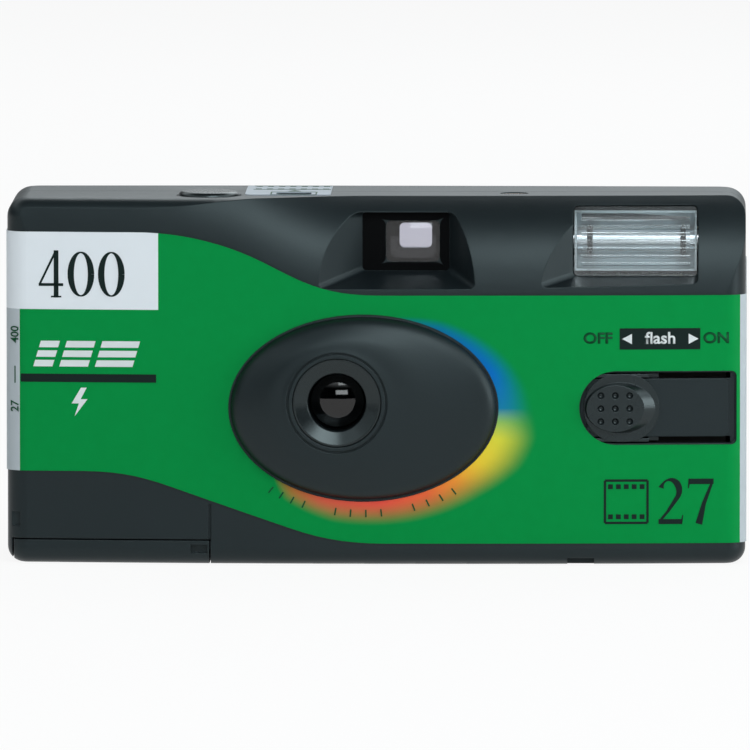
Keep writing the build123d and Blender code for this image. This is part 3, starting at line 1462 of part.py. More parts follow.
# %% Cassette lid
lid_inset = 0.95
lid_left_x = lid_inset - half_width
lid_right = 14.3
lid_right_x = cassette_x + lid_right
lid_height = 3.5
lid_gap = 0.2
lid_axis_inset = 4.25
lid_axis_y = back_crest_y - lid_axis_inset
pry_left = 2.7
pry_left_x = lid_right_x - pry_left
pry_right = 0.3
pry_right_x = lid_right_x - pry_right
pry_depth = 0.8
lid_line_width = 0.35
lid_line_depth = 0.3
lid_line_below_label = 0.6
pry_bottom_z = 1.7
pry_height = 1.2

hinge_radius = wall / 2


def lid_space(gap):
    """Everything that belongs to the lid, grown by a gap."""
    space = block(lid_left_x - gap, lid_right_x + gap, -overall_depth, lid_axis_y, -cut_overrun,
                  lid_height + gap)
    if gap:
        space += block(lid_left_x - gap, lid_right_x + gap, lid_axis_y, lid_axis_y + hinge_radius + gap,
                       -cut_overrun, hinge_radius)
    return space + rod_x(lid_axis_y, hinge_radius, lid_left_x - gap, lid_right_x + gap, hinge_radius + gap)


def cassette_lid(shell):
    """Bottom lid with a low front lip, hinged at its rear edge."""
    plate = shell & block(lid_left_x, lid_right_x, -overall_depth, lid_axis_y, -cut_overrun, lid_height)
    plate += rod_x(lid_axis_y, hinge_radius, lid_left_x, lid_right_x, hinge_radius)
    notch_y = front_y(pry_left_x)
    return plate - block(pry_left_x, pry_right_x, notch_y - cut_overrun, notch_y + pry_depth, pry_bottom_z,
                         pry_bottom_z + pry_height)


# %% Covers and labels
scoop_left = 8.4
scoop_left_x = cassette_x - scoop_left
scoop_right = 8.2
scoop_right_x = cassette_x + scoop_right
scoop_bottom_drop = 7.1
scoop_bottom_z = body_height - scoop_bottom_drop
scoop_top_drop = 2.9
scoop_top_z = body_height - scoop_top_drop
scoop_radius = 22.0
scoop_depth = 0.7
tab_width = 5.0
tab_thickness = 0.8
tab_reach = 3.0
tab_root = 4.0
tab_gap = 0.1
tab_hook_radius = 0.35
top_tab_x_shares = (0.03, 0.24, 0.60)
bottom_tab_x_shares = (-0.20, 0.10, 0.36, 0.62)
square_notch_inset = 0.85
square_notch_x = square_notch_inset - half_width
square_notch_size = 2.1
square_notch_z = 6.5
square_notch_depth = 1.0
hook_notch_inset = 25.95
hook_notch_left_x = half_width - hook_notch_inset
hook_notch_width = 3.9
hook_notch_height = 1.0
hook_notch_depth = 0.8
pressure_rail_gap = 0.25
pressure_rail_height = 3.0
pressure_rail_spacing = 22.0

top_label_left = 7.1
top_label_left_x = dial_x - top_label_left
top_label_right = 5.4
top_label_right_x = dial_x + top_label_right
top_label_setback = 8.7
top_label_front_y = front_crest_y + top_label_setback
top_label_inset = 4.25
top_label_rear_y = back_crest_y - top_label_inset
top_label_corner_radius = 1.0
top_label_thickness = 0.1


def tab_places():
    """Centre X and side (1 top, -1 bottom) of each snap tab."""
    top = [(share * half_width, 1) for share in top_tab_x_shares]
    return top + [(share * half_width, -1) for share in bottom_tab_x_shares]


def snap_tab(x, side, grow):
    """One snap tab with its hook, grown by a gap to make the notch that takes the hook."""
    face_z = top_inner_z - tab_gap if side > 0 else wall + tab_gap
    inner_z = face_z - side * tab_thickness
    z0, z1 = sorted((face_z, inner_z))
    hook = rod_x(split_y - tab_reach + tab_hook_radius, face_z, x - tab_width / 2 - grow,
                 x + tab_width / 2 + grow, tab_hook_radius + grow)
    if grow:
        return hook
    return block(x - tab_width / 2, x + tab_width / 2, split_y - tab_reach, split_y + tab_root, z0, z1) + hook


def tab_root_block(x, side):
    """Rib that joins a snap tab to the rear cover's wall."""
    face_z = top_inner_z - tab_gap if side > 0 else wall + tab_gap
    z0, z1 = sorted((face_z - side * tab_thickness, face_z + side * wall / 2))
    return block(x - tab_width / 2, x + tab_width / 2, split_y + seam_gap / 2, split_y + tab_root, z0, z1)


def front_cover(outer, shell):
    """Front half of the body with the lens mound, the two recesses and the switch slots."""
    body = shell + (mound(0) - mound(wall))
    hollow = Pos(mound_x, mound_z) * Ellipse(mound_half_length - wall, mound_half_height - wall)
    body -= front_prism(hollow, front_crest_y, front_crest_y + 2 * wall)
    body += (viewfinder_funnel(wall) + flash_funnel(wall)
             + flash_opening(wall, flash_floor_y, flash_floor_y + flash_frame_depth)) & outer
    body -= viewfinder_funnel(0)
    body -= front_prism(rounded_between(*viewfinder_seat(-tunnel_skin), recess_corner_radius),
                        viewfinder_floor_y, 0)
    body -= front_prism(rounded_between(*viewfinder_seat(seam_gap), recess_corner_radius),
                        viewfinder_floor_y + fit_gap, 0)
    body -= flash_funnel(0) + flash_opening(0, flash_floor_y - cut_overrun, 0)
    body -= switch_cut()
    body -= rod_y(lens_x, lens_z, -overall_depth, 0, ring_outer_radius + seam_gap)
    crest_y = front_crest_y - mound_height
    body -= tube_y(lens_x, lens_z, crest_y - cut_overrun, crest_y + crest_groove_depth,
                   crest_groove_radius + crest_groove_width / 2, crest_groove_radius - crest_groove_width / 2)
    body -= rod_z(button_x, button_y, top_inner_z - cut_overrun, overall_height,
                  button_radius + button_hole_gap)
    body -= counter_hole(0, top_inner_z - cut_overrun, overall_height)
    body -= rod_z(lamp_x, lamp_y, top_inner_z - cut_overrun, overall_height, lamp_radius + seam_gap)
    for x, side in tab_places():
        body -= snap_tab(x, side, tab_gap)
    notch_y = front_y(square_notch_x)
    body -= block(square_notch_x - square_notch_size / 2, square_notch_x + square_notch_size / 2,
                  notch_y - cut_overrun, notch_y + square_notch_depth, square_notch_z - square_notch_size / 2,
                  square_notch_z + square_notch_size / 2)
    line_x = lid_right_x + lid_gap / 2
    line_y = front_y(line_x)
    body -= block(line_x - lid_line_width / 2, line_x + lid_line_width / 2, line_y - cut_overrun,
                  line_y + lid_line_depth, lid_height, label_low_z(line_x) - lid_line_below_label)
    hook_y = front_y(hook_notch_left_x)
    body -= block(hook_notch_left_x, hook_notch_left_x + hook_notch_width, hook_y - cut_overrun,
                  hook_y + hook_notch_depth + bottom_edge_radius, -cut_overrun, hook_notch_height)
    half = block(-overall_width, overall_width, -overall_depth, split_y - seam_gap / 2, -overall_depth,
                 2 * overall_height)
    return (body & half) - lid_space(lid_gap)


def rear_cover(shell):
    """Rear half with the thumbwheel opening in its scoop, the eyepiece hole, snap tabs and film rails."""
    body = shell & block(-overall_width, overall_width, split_y + seam_gap / 2, overall_depth, -overall_depth,
                         2 * overall_height)
    for x, side in tab_places():
        body += tab_root_block(x, side) + snap_tab(x, side, 0)
    inner_y = back_y(lens_x) - wall
    for side in (-1, 1):
        rail_z = lens_z + side * pressure_rail_spacing / 2
        body += block(lens_x - gate_half_length, lens_x + gate_half_length, film_back_y + pressure_rail_gap,
                      inner_y + wall / 2, rail_z - pressure_rail_height / 2,
                      rail_z + pressure_rail_height / 2)
    scoop_x = (scoop_left_x + scoop_right_x) / 2
    scoop_z = (scoop_bottom_z + scoop_top_z) / 2
    scoop_y = back_y(scoop_x) - scoop_depth + scoop_radius
    body -= Pos(scoop_x, scoop_y, scoop_z) * Sphere(scoop_radius)
    body -= block(scoop_left_x, scoop_right_x, cassette_y + can_radius / 2, overall_depth, scoop_bottom_z,
                  scoop_top_z)
    body -= front_prism(rounded_between(*eyepiece_seat(0), recess_corner_radius), tunnel_rear_y,
                        overall_depth)
    return body - lid_space(lid_gap)


def wave_region(top_z, bottom_z):
    """Front-view area between two waves, each given by a function of X."""
    reach = half_width + cut_overrun
    xs = [reach * (2 * step / (2 * label_point_count) - 1) for step in range(2 * label_point_count + 1)]
    top = Spline(*[(x, top_z(x)) for x in xs])
    low = Spline(*[(x, bottom_z(x)) for x in reversed(xs)])
    sides = Line(top @ 1, low @ 0) + Line(low @ 1, top @ 0)
    return make_face(top + low + sides)


def label_top_z(x):
    """Upper edge of the label."""
    return crease_z(x) - crease_rise


def label_low_z(x):
    """Lower edge of the label."""
    return wave(x, label_low_left_z, label_low_right_z, label_low_corner_x, label_low_high_radius,
                label_low_low_radius, label_low_slope_deg)


def wrap_label():
    """Printed label round the body, cut to a wave in front and straight at the back."""
    sleeve = top_prism(plan_face(-label_thickness), 0, body_height) - top_prism(
        plan_face(0), -cut_overrun, body_height + cut_overrun)
    front = front_prism(wave_region(label_top_z, label_low_z), -overall_depth, split_y)
    back = block(-overall_width, overall_width, split_y, overall_depth, label_back_low_z, label_back_high_z)
    label = sleeve & (front + back)
    gap = mound_label_gap
    hole = Pos(mound_x, mound_z) * Ellipse(mound_half_length + gap, mound_half_height + gap)
    label -= front_prism(hole, -overall_depth, 0)
    return label - switch_solid(switch_outline(switch_label_gap), -wall, wall)


def top_label():
    """Pale label on the top with a hole for the counter window."""
    width = top_label_right_x - top_label_left_x
    depth = top_label_rear_y - top_label_front_y
    outline = Pos((top_label_left_x + top_label_right_x) / 2, (top_label_front_y + top_label_rear_y) / 2)
    label = top_prism(outline * RectangleRounded(width, depth, top_label_corner_radius), body_height,
                      body_height + top_label_thickness)
    return label - counter_hole(seam_gap, body_height - cut_overrun, body_height + cut_overrun)


# %% Assembly
def build_parts():
    """Every piece by its name."""
    outer = envelope(0)
    inner = envelope(wall)
    shell = outer - inner
    clear_space = envelope(wall + chassis_gap)
    blade_spring_y = blade_rear_y - blade_thickness - seam_gap
    lever_spring_y = lever_rear_y - lever_thickness - seam_gap
    return {
        "front_cover": front_cover(outer, shell),
        "rear_cover": rear_cover(shell),
        "cassette_lid": cassette_lid(shell),
        "wrap_label": wrap_label(),
        "top_label": top_label(),
        "chassis": chassis(clear_space),
        "lens_ring": lens_ring(),
        "taking_lens": taking_lens(),
        "aperture_plate": aperture_plate(),
        "shutter_blade": shutter_blade(),
        "blade_spring": torsion_spring(blade_pivot_x, blade_pivot_z, blade_spring_y),
        "kick_lever": kick_lever(),
        "lever_spring": torsion_spring(lever_pivot_x, lever_pivot_z, lever_spring_y),
        "sync_contacts": sync_contacts(),
        "viewfinder_front_lens": viewfinder_front_lens(),
        "viewfinder_tube": viewfinder_tube(),
        "viewfinder_rear_lens": viewfinder_rear_lens(),
        "flash_window": flash_window(outer),
        "flash_reflector": flash_reflector(),
        "xenon_tube": xenon_tube(),
        "flash_board": flash_board(),
        "board_components": board_components(),
        "main_capacitor": main_capacitor(),
        "step_up_transformer": step_up_transformer(),
        "trigger_coil": trigger_coil(),
        "battery": battery(),
        "battery_contact_top": battery_contact_top(),
        "battery_contact_bottom": battery_contact_bottom(),
        "flash_switch": flash_switch(),
        "switch_contact": switch_contact(),
        "ready_lamp": ready_lamp(),
        "shutter_button": shutter_button(),
        "button_spring": button_spring(),
        "counter_dial": counter_dial(),
        "counter_window": counter_window(),
        "thumbwheel": thumbwheel(),
        "ratchet_pawl": ratchet_pawl(),
        "sprocket_wheel": sprocket_wheel(),
        "cassette_can": cassette_can(),
        "cassette_cap_top": cassette_cap(cassette_top_z, -1),
        "cassette_cap_bottom": cassette_cap(cassette_bottom_z, 1),
        "cassette_spool": cassette_spool(),
        "film_strip": film_strip(),
        "film_roll": film_roll(),
        "supply_spool": supply_spool(),
    }


if __name__ == "__main__":
    os.makedirs("parts", exist_ok=True)
    for name, solid in build_parts().items():
        export_step(solid, f"parts/{name}.step")
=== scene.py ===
# %% [markdown]
# # A single-use film camera, dressed in Blender
#
# The solids of the camera come from its CAD model and keep their places. This lesson gives them light,
# a viewpoint, finishes that look like the real ones, and the printing on the label.
# Blender works in metres, and the camera is only 108 mm wide, so sizes are written in millimetres
# and multiplied by MM.

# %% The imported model
from math import cos, pi, radians, sin

import bpy
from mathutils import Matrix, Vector


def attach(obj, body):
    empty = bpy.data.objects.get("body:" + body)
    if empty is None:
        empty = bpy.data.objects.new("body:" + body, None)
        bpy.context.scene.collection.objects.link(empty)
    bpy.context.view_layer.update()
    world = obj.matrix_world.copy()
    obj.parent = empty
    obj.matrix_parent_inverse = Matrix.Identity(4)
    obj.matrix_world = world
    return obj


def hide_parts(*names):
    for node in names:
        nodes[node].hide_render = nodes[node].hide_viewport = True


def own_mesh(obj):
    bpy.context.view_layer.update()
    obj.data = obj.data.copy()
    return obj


MM = 0.001
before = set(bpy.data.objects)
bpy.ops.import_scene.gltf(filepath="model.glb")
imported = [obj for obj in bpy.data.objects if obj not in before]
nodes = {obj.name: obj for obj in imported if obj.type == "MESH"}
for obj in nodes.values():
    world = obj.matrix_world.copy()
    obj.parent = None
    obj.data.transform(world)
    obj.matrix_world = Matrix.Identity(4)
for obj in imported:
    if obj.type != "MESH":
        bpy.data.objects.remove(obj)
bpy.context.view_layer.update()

# %% [markdown]
# ## The viewpoint
#
# A product picture is taken from far away with a long lens, so the front stays almost square to the picture.
# The eye is a little above the camera and a little to its right, which shows a sliver of the top.

# %% Camera
PICTURE_WIDTH_MM = 109.2
SENSOR_MM = 36.0
CAMERA_DISTANCE_MM = 2400.0
CAMERA_HEIGHT_DEG = 5.0
CAMERA_SIDE_DEG = 1.2
AIM_MM = (-0.1, -13.6, 27.85)

height = radians(CAMERA_HEIGHT_DEG)
side = radians(CAMERA_SIDE_DEG)
backwards = Vector((sin(side) * cos(height), -cos(side) * cos(height), sin(height)))
aim = Vector(AIM_MM) * MM
bpy.ops.object.camera_add(location=aim + backwards * CAMERA_DISTANCE_MM * MM)
camera = bpy.context.object
camera.rotation_euler = (-backwards).to_track_quat("-Z", "Y").to_euler()
camera.data.sensor_width = SENSOR_MM
camera.data.lens = SENSOR_MM * CAMERA_DISTANCE_MM / PICTURE_WIDTH_MM
bpy.context.scene.camera = camera
bpy.context.scene.view_settings.view_transform = "Standard"
print("lens in mm:", round(camera.data.lens))


# %% [markdown]
# ## Colours and nodes
#
# Colours are written as the hex values that a paint program shows. Blender's shaders work with linear light,
# so one function turns them over, and can make them darker or lighter by a share. A second one starts an
# empty material, and a third adds a node to it with its settings and links.

# %% Three small helpers
def linear(hex_colour, share=1.0):
    """A hex colour as linear red, green and blue, each times a share, and alpha."""
    values = [int(hex_colour[i:i + 2], 16) / 255 for i in (1, 3, 5)]
    return [share * (v / 12.92 if v <= 0.04045 else ((v + 0.055) / 1.055) ** 2.4) for v in values] + [1.0]


def new_material(name):
    """A material with no nodes yet, and its node tree."""
    material = bpy.data.materials.new(name)
    material.use_nodes = True
    material.node_tree.nodes.clear()
    return material, material.node_tree


def add_node(tree, kind, inputs=(), **settings):
    """Adds a node. Inputs are pairs of a socket's name or number and a value or another node's socket."""
    node = tree.nodes.new("ShaderNode" + kind)
    for name, value in settings.items():
        setattr(node, name, value)
    for name, value in inputs:
        if isinstance(value, bpy.types.NodeSocket):
            tree.links.new(value, node.inputs[name])
        else:
            node.inputs[name].default_value = value
    return node


# %% [markdown]
# ## Light
#
# The picture has a pure white ground. Its light is soft and comes from above the front and from the right:
# the sloped band and the top of the lens mound are light, and the flat black front stays dark.
# Rough plastic shows this as a broad sheen, so the world has two faces. For the eye and through glass it is
# white, for diffuse light an even fill, and for reflections a soft band of light at half height,
# stronger on the right, with a white wall low down behind the camera and one short strip light for the lens.

# %% World
FILL_LEVEL = 0.36
SHEEN_BAND_LEVEL = 2.7
BACK_WALL_LEVEL = 0.55
STRIP_LEVEL = 6.0
DAYLIGHT_TINT = "#f1f8fb"
# What a reflection finds is made of soft steps. Each has the axis of the ray's direction that it goes along,
# where it starts and stops, from -1 to 1, and its level before and after.
SHEEN_BAND = (("Z", 0.34, 0.62, 0.0, 1.0), ("Z", 0.64, 0.86, 1.0, 0.06),
              ("X", -0.9, 0.7, 0.45 * SHEEN_BAND_LEVEL, SHEEN_BAND_LEVEL))
BACK_WALL = (("Y", 0.3, 0.9, 0.0, BACK_WALL_LEVEL), ("Z", 0.02, 0.4, 1.0, 0.0))
LENS_STRIP = (("Y", -0.7, -0.4, STRIP_LEVEL, 0.0), ("X", -0.09, -0.05, 0.0, 1.0), ("X", 0.31, 0.35, 1.0, 0.0),
              ("Z", 0.13, 0.17, 0.0, 1.0), ("Z", 0.27, 0.31, 1.0, 0.0))

world = bpy.data.worlds.new("studio")
bpy.context.scene.world = world
world.use_nodes = True
tree = world.node_tree
tree.nodes.clear()
place = add_node(tree, "TexCoord")
direction = add_node(tree, "SeparateXYZ", [(0, place.outputs["Generated"])])
reflected = 0.0
for shape in (SHEEN_BAND, BACK_WALL, LENS_STRIP):
    level = 1.0
    for axis, start, stop, before, after in shape:
        step = add_node(tree, "MapRange", [("Value", direction.outputs[axis]), ("From Min", start),
                                           ("From Max", stop), ("To Min", before), ("To Max", after)],
                        interpolation_type="SMOOTHSTEP")
        level = add_node(tree, "Math", [(0, level), (1, step.outputs[0])], operation="MULTIPLY").outputs[0]
    reflected = add_node(tree, "Math", [(0, reflected), (1, level)], operation="MAXIMUM").outputs[0]

path = add_node(tree, "LightPath")
seen = add_node(tree, "Math", [(0, path.outputs["Is Camera Ray"]), (1, path.outputs["Is Transmission Ray"])],
                operation="MAXIMUM").outputs[0]
lit = add_node(tree, "Mix", [(0, path.outputs["Is Glossy Ray"]), (2, FILL_LEVEL), (3, reflected)],
               data_type="FLOAT").outputs[0]
level = add_node(tree, "Math", [(0, seen), (1, lit)], operation="MAXIMUM").outputs[0]
tint = add_node(tree, "Mix", [("Factor", seen), ("A", linear(DAYLIGHT_TINT)), ("B", linear("#ffffff"))],
                data_type="RGBA").outputs["Result"]
sky = add_node(tree, "Background", [("Color", tint), ("Strength", level)])
add_node(tree, "OutputWorld", [("Surface", sky.outputs[0])])
print("world nodes:", len(tree.nodes))

# %% Soft panels
PANELS = (
    ("panel_above", (0.25, -0.80, 0.78), 0.6, 5.4),
    ("panel_right", (0.57, -0.19, 0.14), 0.25, 1.3),
    ("panel_left", (-0.9, -0.6, 0.35), 0.5, 0.7),
    ("panel_behind", (0.2, 0.9, 0.6), 0.7, 2.5),
)
for name, position, width, power in PANELS:
    bpy.ops.object.light_add(type="AREA", location=position)
    lamp = bpy.context.object
    lamp.name = name
    lamp.data.size = width
    lamp.data.energy = power
    lamp.data.color = linear(DAYLIGHT_TINT)[:3]
    lamp.rotation_euler = (aim - Vector(position)).to_track_quat("-Z", "Y").to_euler()
print("soft panels:", [name for name, position, width, power in PANELS])

# %% [markdown]
# ### The ground
#
# White paper that glows for the eye and for reflections, and is plain paper for the light, so the object's
# shadow stays on it. It is clear from its underside, so that the bottom of the camera can be looked at too.

# %% Ground
GROUND_WHITE_SHARE = 0.9
GROUND_SIZE_M = 20
GROUND_GAP_MM = 0.05

bpy.ops.object.select_all(action="DESELECT")
bpy.ops.mesh.primitive_plane_add(size=GROUND_SIZE_M, location=(0, 0, -GROUND_GAP_MM * MM))
ground = bpy.context.object
ground.name = "ground"
white_paper, tree = new_material("white_background_paper")
path = add_node(tree, "LightPath")
seen = 0.0
for kind in ("Is Camera Ray", "Is Transmission Ray", "Is Glossy Ray"):
    seen = add_node(tree, "Math", [(0, seen), (1, path.outputs[kind])], operation="MAXIMUM").outputs[0]
share = add_node(tree, "Math", [(0, seen), (1, GROUND_WHITE_SHARE)], operation="MULTIPLY")
paper = add_node(tree, "BsdfDiffuse", [("Color", linear("#fcfcfc"))])
glow = add_node(tree, "Emission", [("Color", linear("#ffffff"))])
top_side = add_node(tree, "MixShader", [(0, share.outputs[0]), (1, paper.outputs[0]), (2, glow.outputs[0])])
clear = add_node(tree, "BsdfTransparent")
underside = add_node(tree, "NewGeometry").outputs["Backfacing"]
sheet = add_node(tree, "MixShader", [(0, underside), (1, top_side.outputs[0]), (2, clear.outputs[0])])
add_node(tree, "OutputMaterial", [("Surface", sheet.outputs[0])])
ground.data.materials.append(white_paper)
print("ground:", GROUND_SIZE_M, "m wide")

# %% [markdown]
# ## Moulded plastic
#
# The body is black ABS, moulded in a spark-eroded steel tool. The fine even grain that it leaves gives a
# soft, dull sheen. The real grain is under 0.1 mm, too fine to show, so a noise bump draws it at 0.3 mm.
# Where the plastic flowed in the tool, its gloss and its tint are a little uneven, over some 14 mm.
# Smooth parts, such as the ring round the lens, use the same recipe with a finer, weaker grain.

# %% Recipe for moulded plastic
FLOW_MM = 14.0
GLOSS_SPREAD = 0.05
TINT_SPREAD = 0.15


def moulded_plastic(name, colour, roughness, grain_mm, grain_depth, specular=0.5, edge_mm=0.0,
                    sheen_tint="#ffffff"):
    """Opaque moulded plastic with a fine grain in its bump and gloss, and edges softened by the tool."""
    material, tree = new_material(name)
    place = add_node(tree, "TexCoord").outputs["Object"]
    grain = add_node(tree, "TexNoise", [("Vector", place), ("Scale", 1 / (grain_mm * MM)),
                                        ("Detail", 2.0), ("Roughness", 0.6)])
    flow = add_node(tree, "TexNoise", [("Vector", place), ("Scale", 1 / (FLOW_MM * MM)), ("Detail", 3.0)])
    uneven = add_node(tree, "MapRange", [("Value", flow.outputs[0]), ("To Min", roughness - GLOSS_SPREAD),
                                         ("To Max", roughness + GLOSS_SPREAD)])
    tint = add_node(tree, "Mix", [("Factor", flow.outputs[0]), ("A", linear(colour, 1 - TINT_SPREAD)),
                                  ("B", linear(colour, 1 + TINT_SPREAD))], data_type="RGBA")
    bump = add_node(tree, "Bump", [("Height", grain.outputs[0]), ("Distance", grain_depth * MM),
                                   ("Strength", 0.5)])
    if edge_mm:
        edge = add_node(tree, "Bevel", [("Radius", edge_mm * MM)], samples=6)
        tree.links.new(edge.outputs[0], bump.inputs["Normal"])
    skin = add_node(tree, "BsdfPrincipled", [("Base Color", tint.outputs["Result"]),
                                             ("Roughness", uneven.outputs[0]), ("Normal", bump.outputs[0]),
                                             ("Specular IOR Level", specular),
                                             ("Specular Tint", linear(sheen_tint))])
    add_node(tree, "OutputMaterial", [("Surface", skin.outputs[0])])
    return material


# %% Plastics of the camera
def dress(material, *names):
    """Gives CAD nodes a finish."""
    for name in names:
        slots = nodes[name].data.materials
        slots.clear()
        slots.append(material)


# Grained ABS shows a broad soft sheen and smooth ABS a sharper one. Matt and velvet black keep the inside
# dark, acetal looks a little waxy, and the dial's styrene is a warm white.
black_abs = moulded_plastic("grained_black_abs", "#12191c", 0.42, 0.3, 0.02, 0.38, 0.25, "#def2f4")
smooth_abs = moulded_plastic("smooth_black_abs", "#0e1315", 0.24, 0.15, 0.004, 0.5, 0.12, "#e0f2f4")
dull_abs = moulded_plastic("matt_black_abs", "#08090b", 0.65, 0.3, 0.01, 0.12)
sooty_abs = moulded_plastic("velvet_black_abs", "#050607", 0.9, 0.25, 0.01, 0.0)
grey_abs = moulded_plastic("dark_grey_switch_plastic", "#13191b", 0.28, 0.25, 0.012, 0.5, 0.15, "#e0f2f4")
wheel_plastic = moulded_plastic("black_acetal", "#1b1d1e", 0.38, 0.2, 0.008)
dial_plastic = moulded_plastic("white_dial_styrene", "#e4e2da", 0.35, 0.2, 0.006)
dress(black_abs, "front_cover", "rear_cover", "cassette_lid")
dress(dull_abs, "chassis")
dress(sooty_abs, "viewfinder_tube", "aperture_plate")
dress(smooth_abs, "lens_ring", "kick_lever", "shutter_button", "cassette_spool", "supply_spool")
dress(grey_abs, "flash_switch")
dress(wheel_plastic, "thumbwheel", "ratchet_pawl", "sprocket_wheel")
dress(dial_plastic, "counter_dial")
print("moulded plastics so far:", len(bpy.data.materials))

# %% [markdown]
# ## Clear plastics and lenses
#
# The windows are injection-moulded acrylic and polycarbonate. Real refraction through thin ribbed parts needs
# many samples, so they are drawn as a thin clear skin: mostly see-through, with a sharp reflection that
# grows at shallow angles, as Fresnel's law says. The viewfinder's lenses are faintly smoky, so the white
# ground looks a little grey through them. The thick taking lens gets true refraction. Its dark tint
# paints the shade inside the camera that is seen through it.

# %% Recipes for clear plastic
ACRYLIC_IOR = 1.49


def clear_plastic(name, tint, roughness, haze=0.0):
    """Thin clear plastic: see-through, with a Fresnel reflection and a little haze."""
    material, tree = new_material(name)
    through = add_node(tree, "BsdfTransparent", [("Color", linear(tint))])
    milk = add_node(tree, "BsdfPrincipled", [("Base Color", linear("#e8eef0")), ("Roughness", 0.4)])
    body = add_node(tree, "MixShader", [(0, haze), (1, through.outputs[0]), (2, milk.outputs[0])])
    shine = add_node(tree, "BsdfGlossy", [("Color", linear("#ffffff")), ("Roughness", roughness)])
    fresnel = add_node(tree, "Fresnel", [("IOR", ACRYLIC_IOR)])
    skin = add_node(tree, "MixShader", [(0, fresnel.outputs[0]), (1, body.outputs[0]), (2, shine.outputs[0])])
    add_node(tree, "OutputMaterial", [("Surface", skin.outputs[0])])
    return material


def lens_acrylic(name, colour, roughness, specular=0.5):
    """Solid polished acrylic with refraction."""
    material, tree = new_material(name)
    skin = add_node(tree, "BsdfPrincipled", [("Base Color", linear(colour)), ("Roughness", roughness),
                                             ("IOR", ACRYLIC_IOR), ("Specular IOR Level", specular),
                                             ("Transmission Weight", 1.0)])
    add_node(tree, "OutputMaterial", [("Surface", skin.outputs[0])])
    return material


# %% Windows and lenses
# Polycarbonate is clear with a soft glint, acrylic clearer with a sharp one, and styrene a little milky.
window_clear = clear_plastic("clear_polycarbonate", "#f8fbfc", 0.16, 0.05)
finder_clear = clear_plastic("clear_acrylic_window", "#ededf1", 0.02, 0.01)
dial_clear = clear_plastic("clear_styrene_window", "#e4ecf2", 0.08, 0.12)
# The taking lens is clear acrylic. Its near-black tint paints the shade of the camera's inside behind it.
lens_with_painted_shade = lens_acrylic("acrylic_lens_tinted_as_painted_shade", "#1c2326", 0.03, 1.0)
lamp_amber = lens_acrylic("amber_light_guide", "#d98a4c", 0.2)
dress(window_clear, "flash_window")
dress(finder_clear, "viewfinder_front_lens", "viewfinder_rear_lens")
dress(dial_clear, "counter_window")
dress(lens_with_painted_shade, "taking_lens")
dress(lamp_amber, "ready_lamp")
print("with the clear ones:", len(bpy.data.materials))

# %% [markdown]
# ## Metals and small parts inside
#
# Inside the camera are pressed sheet metal, spring wire, a printed cell and a film cassette.
# Each gets its own common finish: rolled sheet has long fine streaks, wire is drawn, and sleeves are glossy.
# A noise that is stretched along X draws the streaks, wider than the real ones so that they show.

# %% Recipe for metal
STREAK_STRETCH = 0.04
STREAK_GLOSS_SPREAD = 0.08


def sheet_metal(name, colour, roughness, streak_mm, metallic=1.0):
    """Rolled or drawn metal with fine streaks along X."""
    material, tree = new_material(name)
    place = add_node(tree, "TexCoord")
    stretch = add_node(tree, "Mapping", [("Vector", place.outputs["Object"]),
                                         ("Scale", (STREAK_STRETCH, 1.0, 1.0))])
    streak = add_node(tree, "TexNoise", [("Vector", stretch.outputs[0]), ("Scale", 1 / (streak_mm * MM)),
                                         ("Detail", 3.0)])
    uneven = add_node(tree, "MapRange", [("Value", streak.outputs[0]),
                                         ("To Min", roughness - STREAK_GLOSS_SPREAD),
                                         ("To Max", roughness + STREAK_GLOSS_SPREAD)])
    tint = add_node(tree, "Mix", [("Factor", streak.outputs[0]), ("A", linear(colour, 0.8)),
                                  ("B", linear(colour))], data_type="RGBA")
    skin = add_node(tree, "BsdfPrincipled", [("Base Color", tint.outputs["Result"]),
                                             ("Roughness", uneven.outputs[0]), ("Metallic", metallic)])
    add_node(tree, "OutputMaterial", [("Surface", skin.outputs[0])])
    return material


# %% Metals, and the tube of the flash
# Anodised sheet is a bright soft mirror, plated brass a warm one, and blackened steel shines very little.
reflector_sheet = sheet_metal("anodised_reflector_sheet", "#e9f3f6", 0.35, 0.4, 0.5)
contact_sheet = sheet_metal("nickel_plated_brass", "#d8cfa8", 0.3, 0.3)
spring_wire = sheet_metal("drawn_music_wire", "#b9bcc0", 0.3, 0.1)
dark_sheet = sheet_metal("blackened_steel_sheet", "#2a2b2d", 0.45, 0.3)
can_sheet = sheet_metal("printed_can_sheet", "#2f6f4a", 0.35, 0.5, 0.4)
jacket = sheet_metal("printed_cell_jacket", "#b9933a", 0.32, 0.5, 0.5)
tube_glass = sheet_metal("oxide_coated_glass_tube", "#f6fbff", 0.2, 0.4, 0.6)
dress(reflector_sheet, "flash_reflector")
dress(contact_sheet, "sync_contacts", "battery_contact_top", "battery_contact_bottom", "switch_contact")
dress(spring_wire, "blade_spring", "lever_spring", "button_spring")
dress(dark_sheet, "shutter_blade", "cassette_cap_top", "cassette_cap_bottom")
dress(can_sheet, "cassette_can")
dress(jacket, "battery")
dress(tube_glass, "xenon_tube")
print("with the metals and the tube:", len(bpy.data.materials))

# %% Board, sleeves, film
# The board is coloured near black. Where it shows in the slot round the switch, this paints the slot's shade.
# Sleeves are glossy, and film is a smooth brown.
# The board's near-black colour is painted shade for the slot round the switch.
board_painted_shade = moulded_plastic("board_black_painted_shade", "#15140f", 0.5, 0.4, 0.01, 0.2)
sleeve = moulded_plastic("shrink_sleeve", "#17181d", 0.25, 0.5, 0.004)
part_body = moulded_plastic("epoxy_dipped_parts", "#3a2a22", 0.4, 0.3, 0.01)
ferrite = moulded_plastic("sintered_ferrite", "#2c2b2c", 0.55, 0.2, 0.01)
film_base = moulded_plastic("coated_film", "#6b4f46", 0.3, 0.4, 0.002)
dress(board_painted_shade, "flash_board")
dress(sleeve, "main_capacitor")
dress(part_body, "board_components", "trigger_coil")
dress(ferrite, "step_up_transformer")
dress(film_base, "film_strip", "film_roll")
print("with the board and the film:", len(bpy.data.materials))

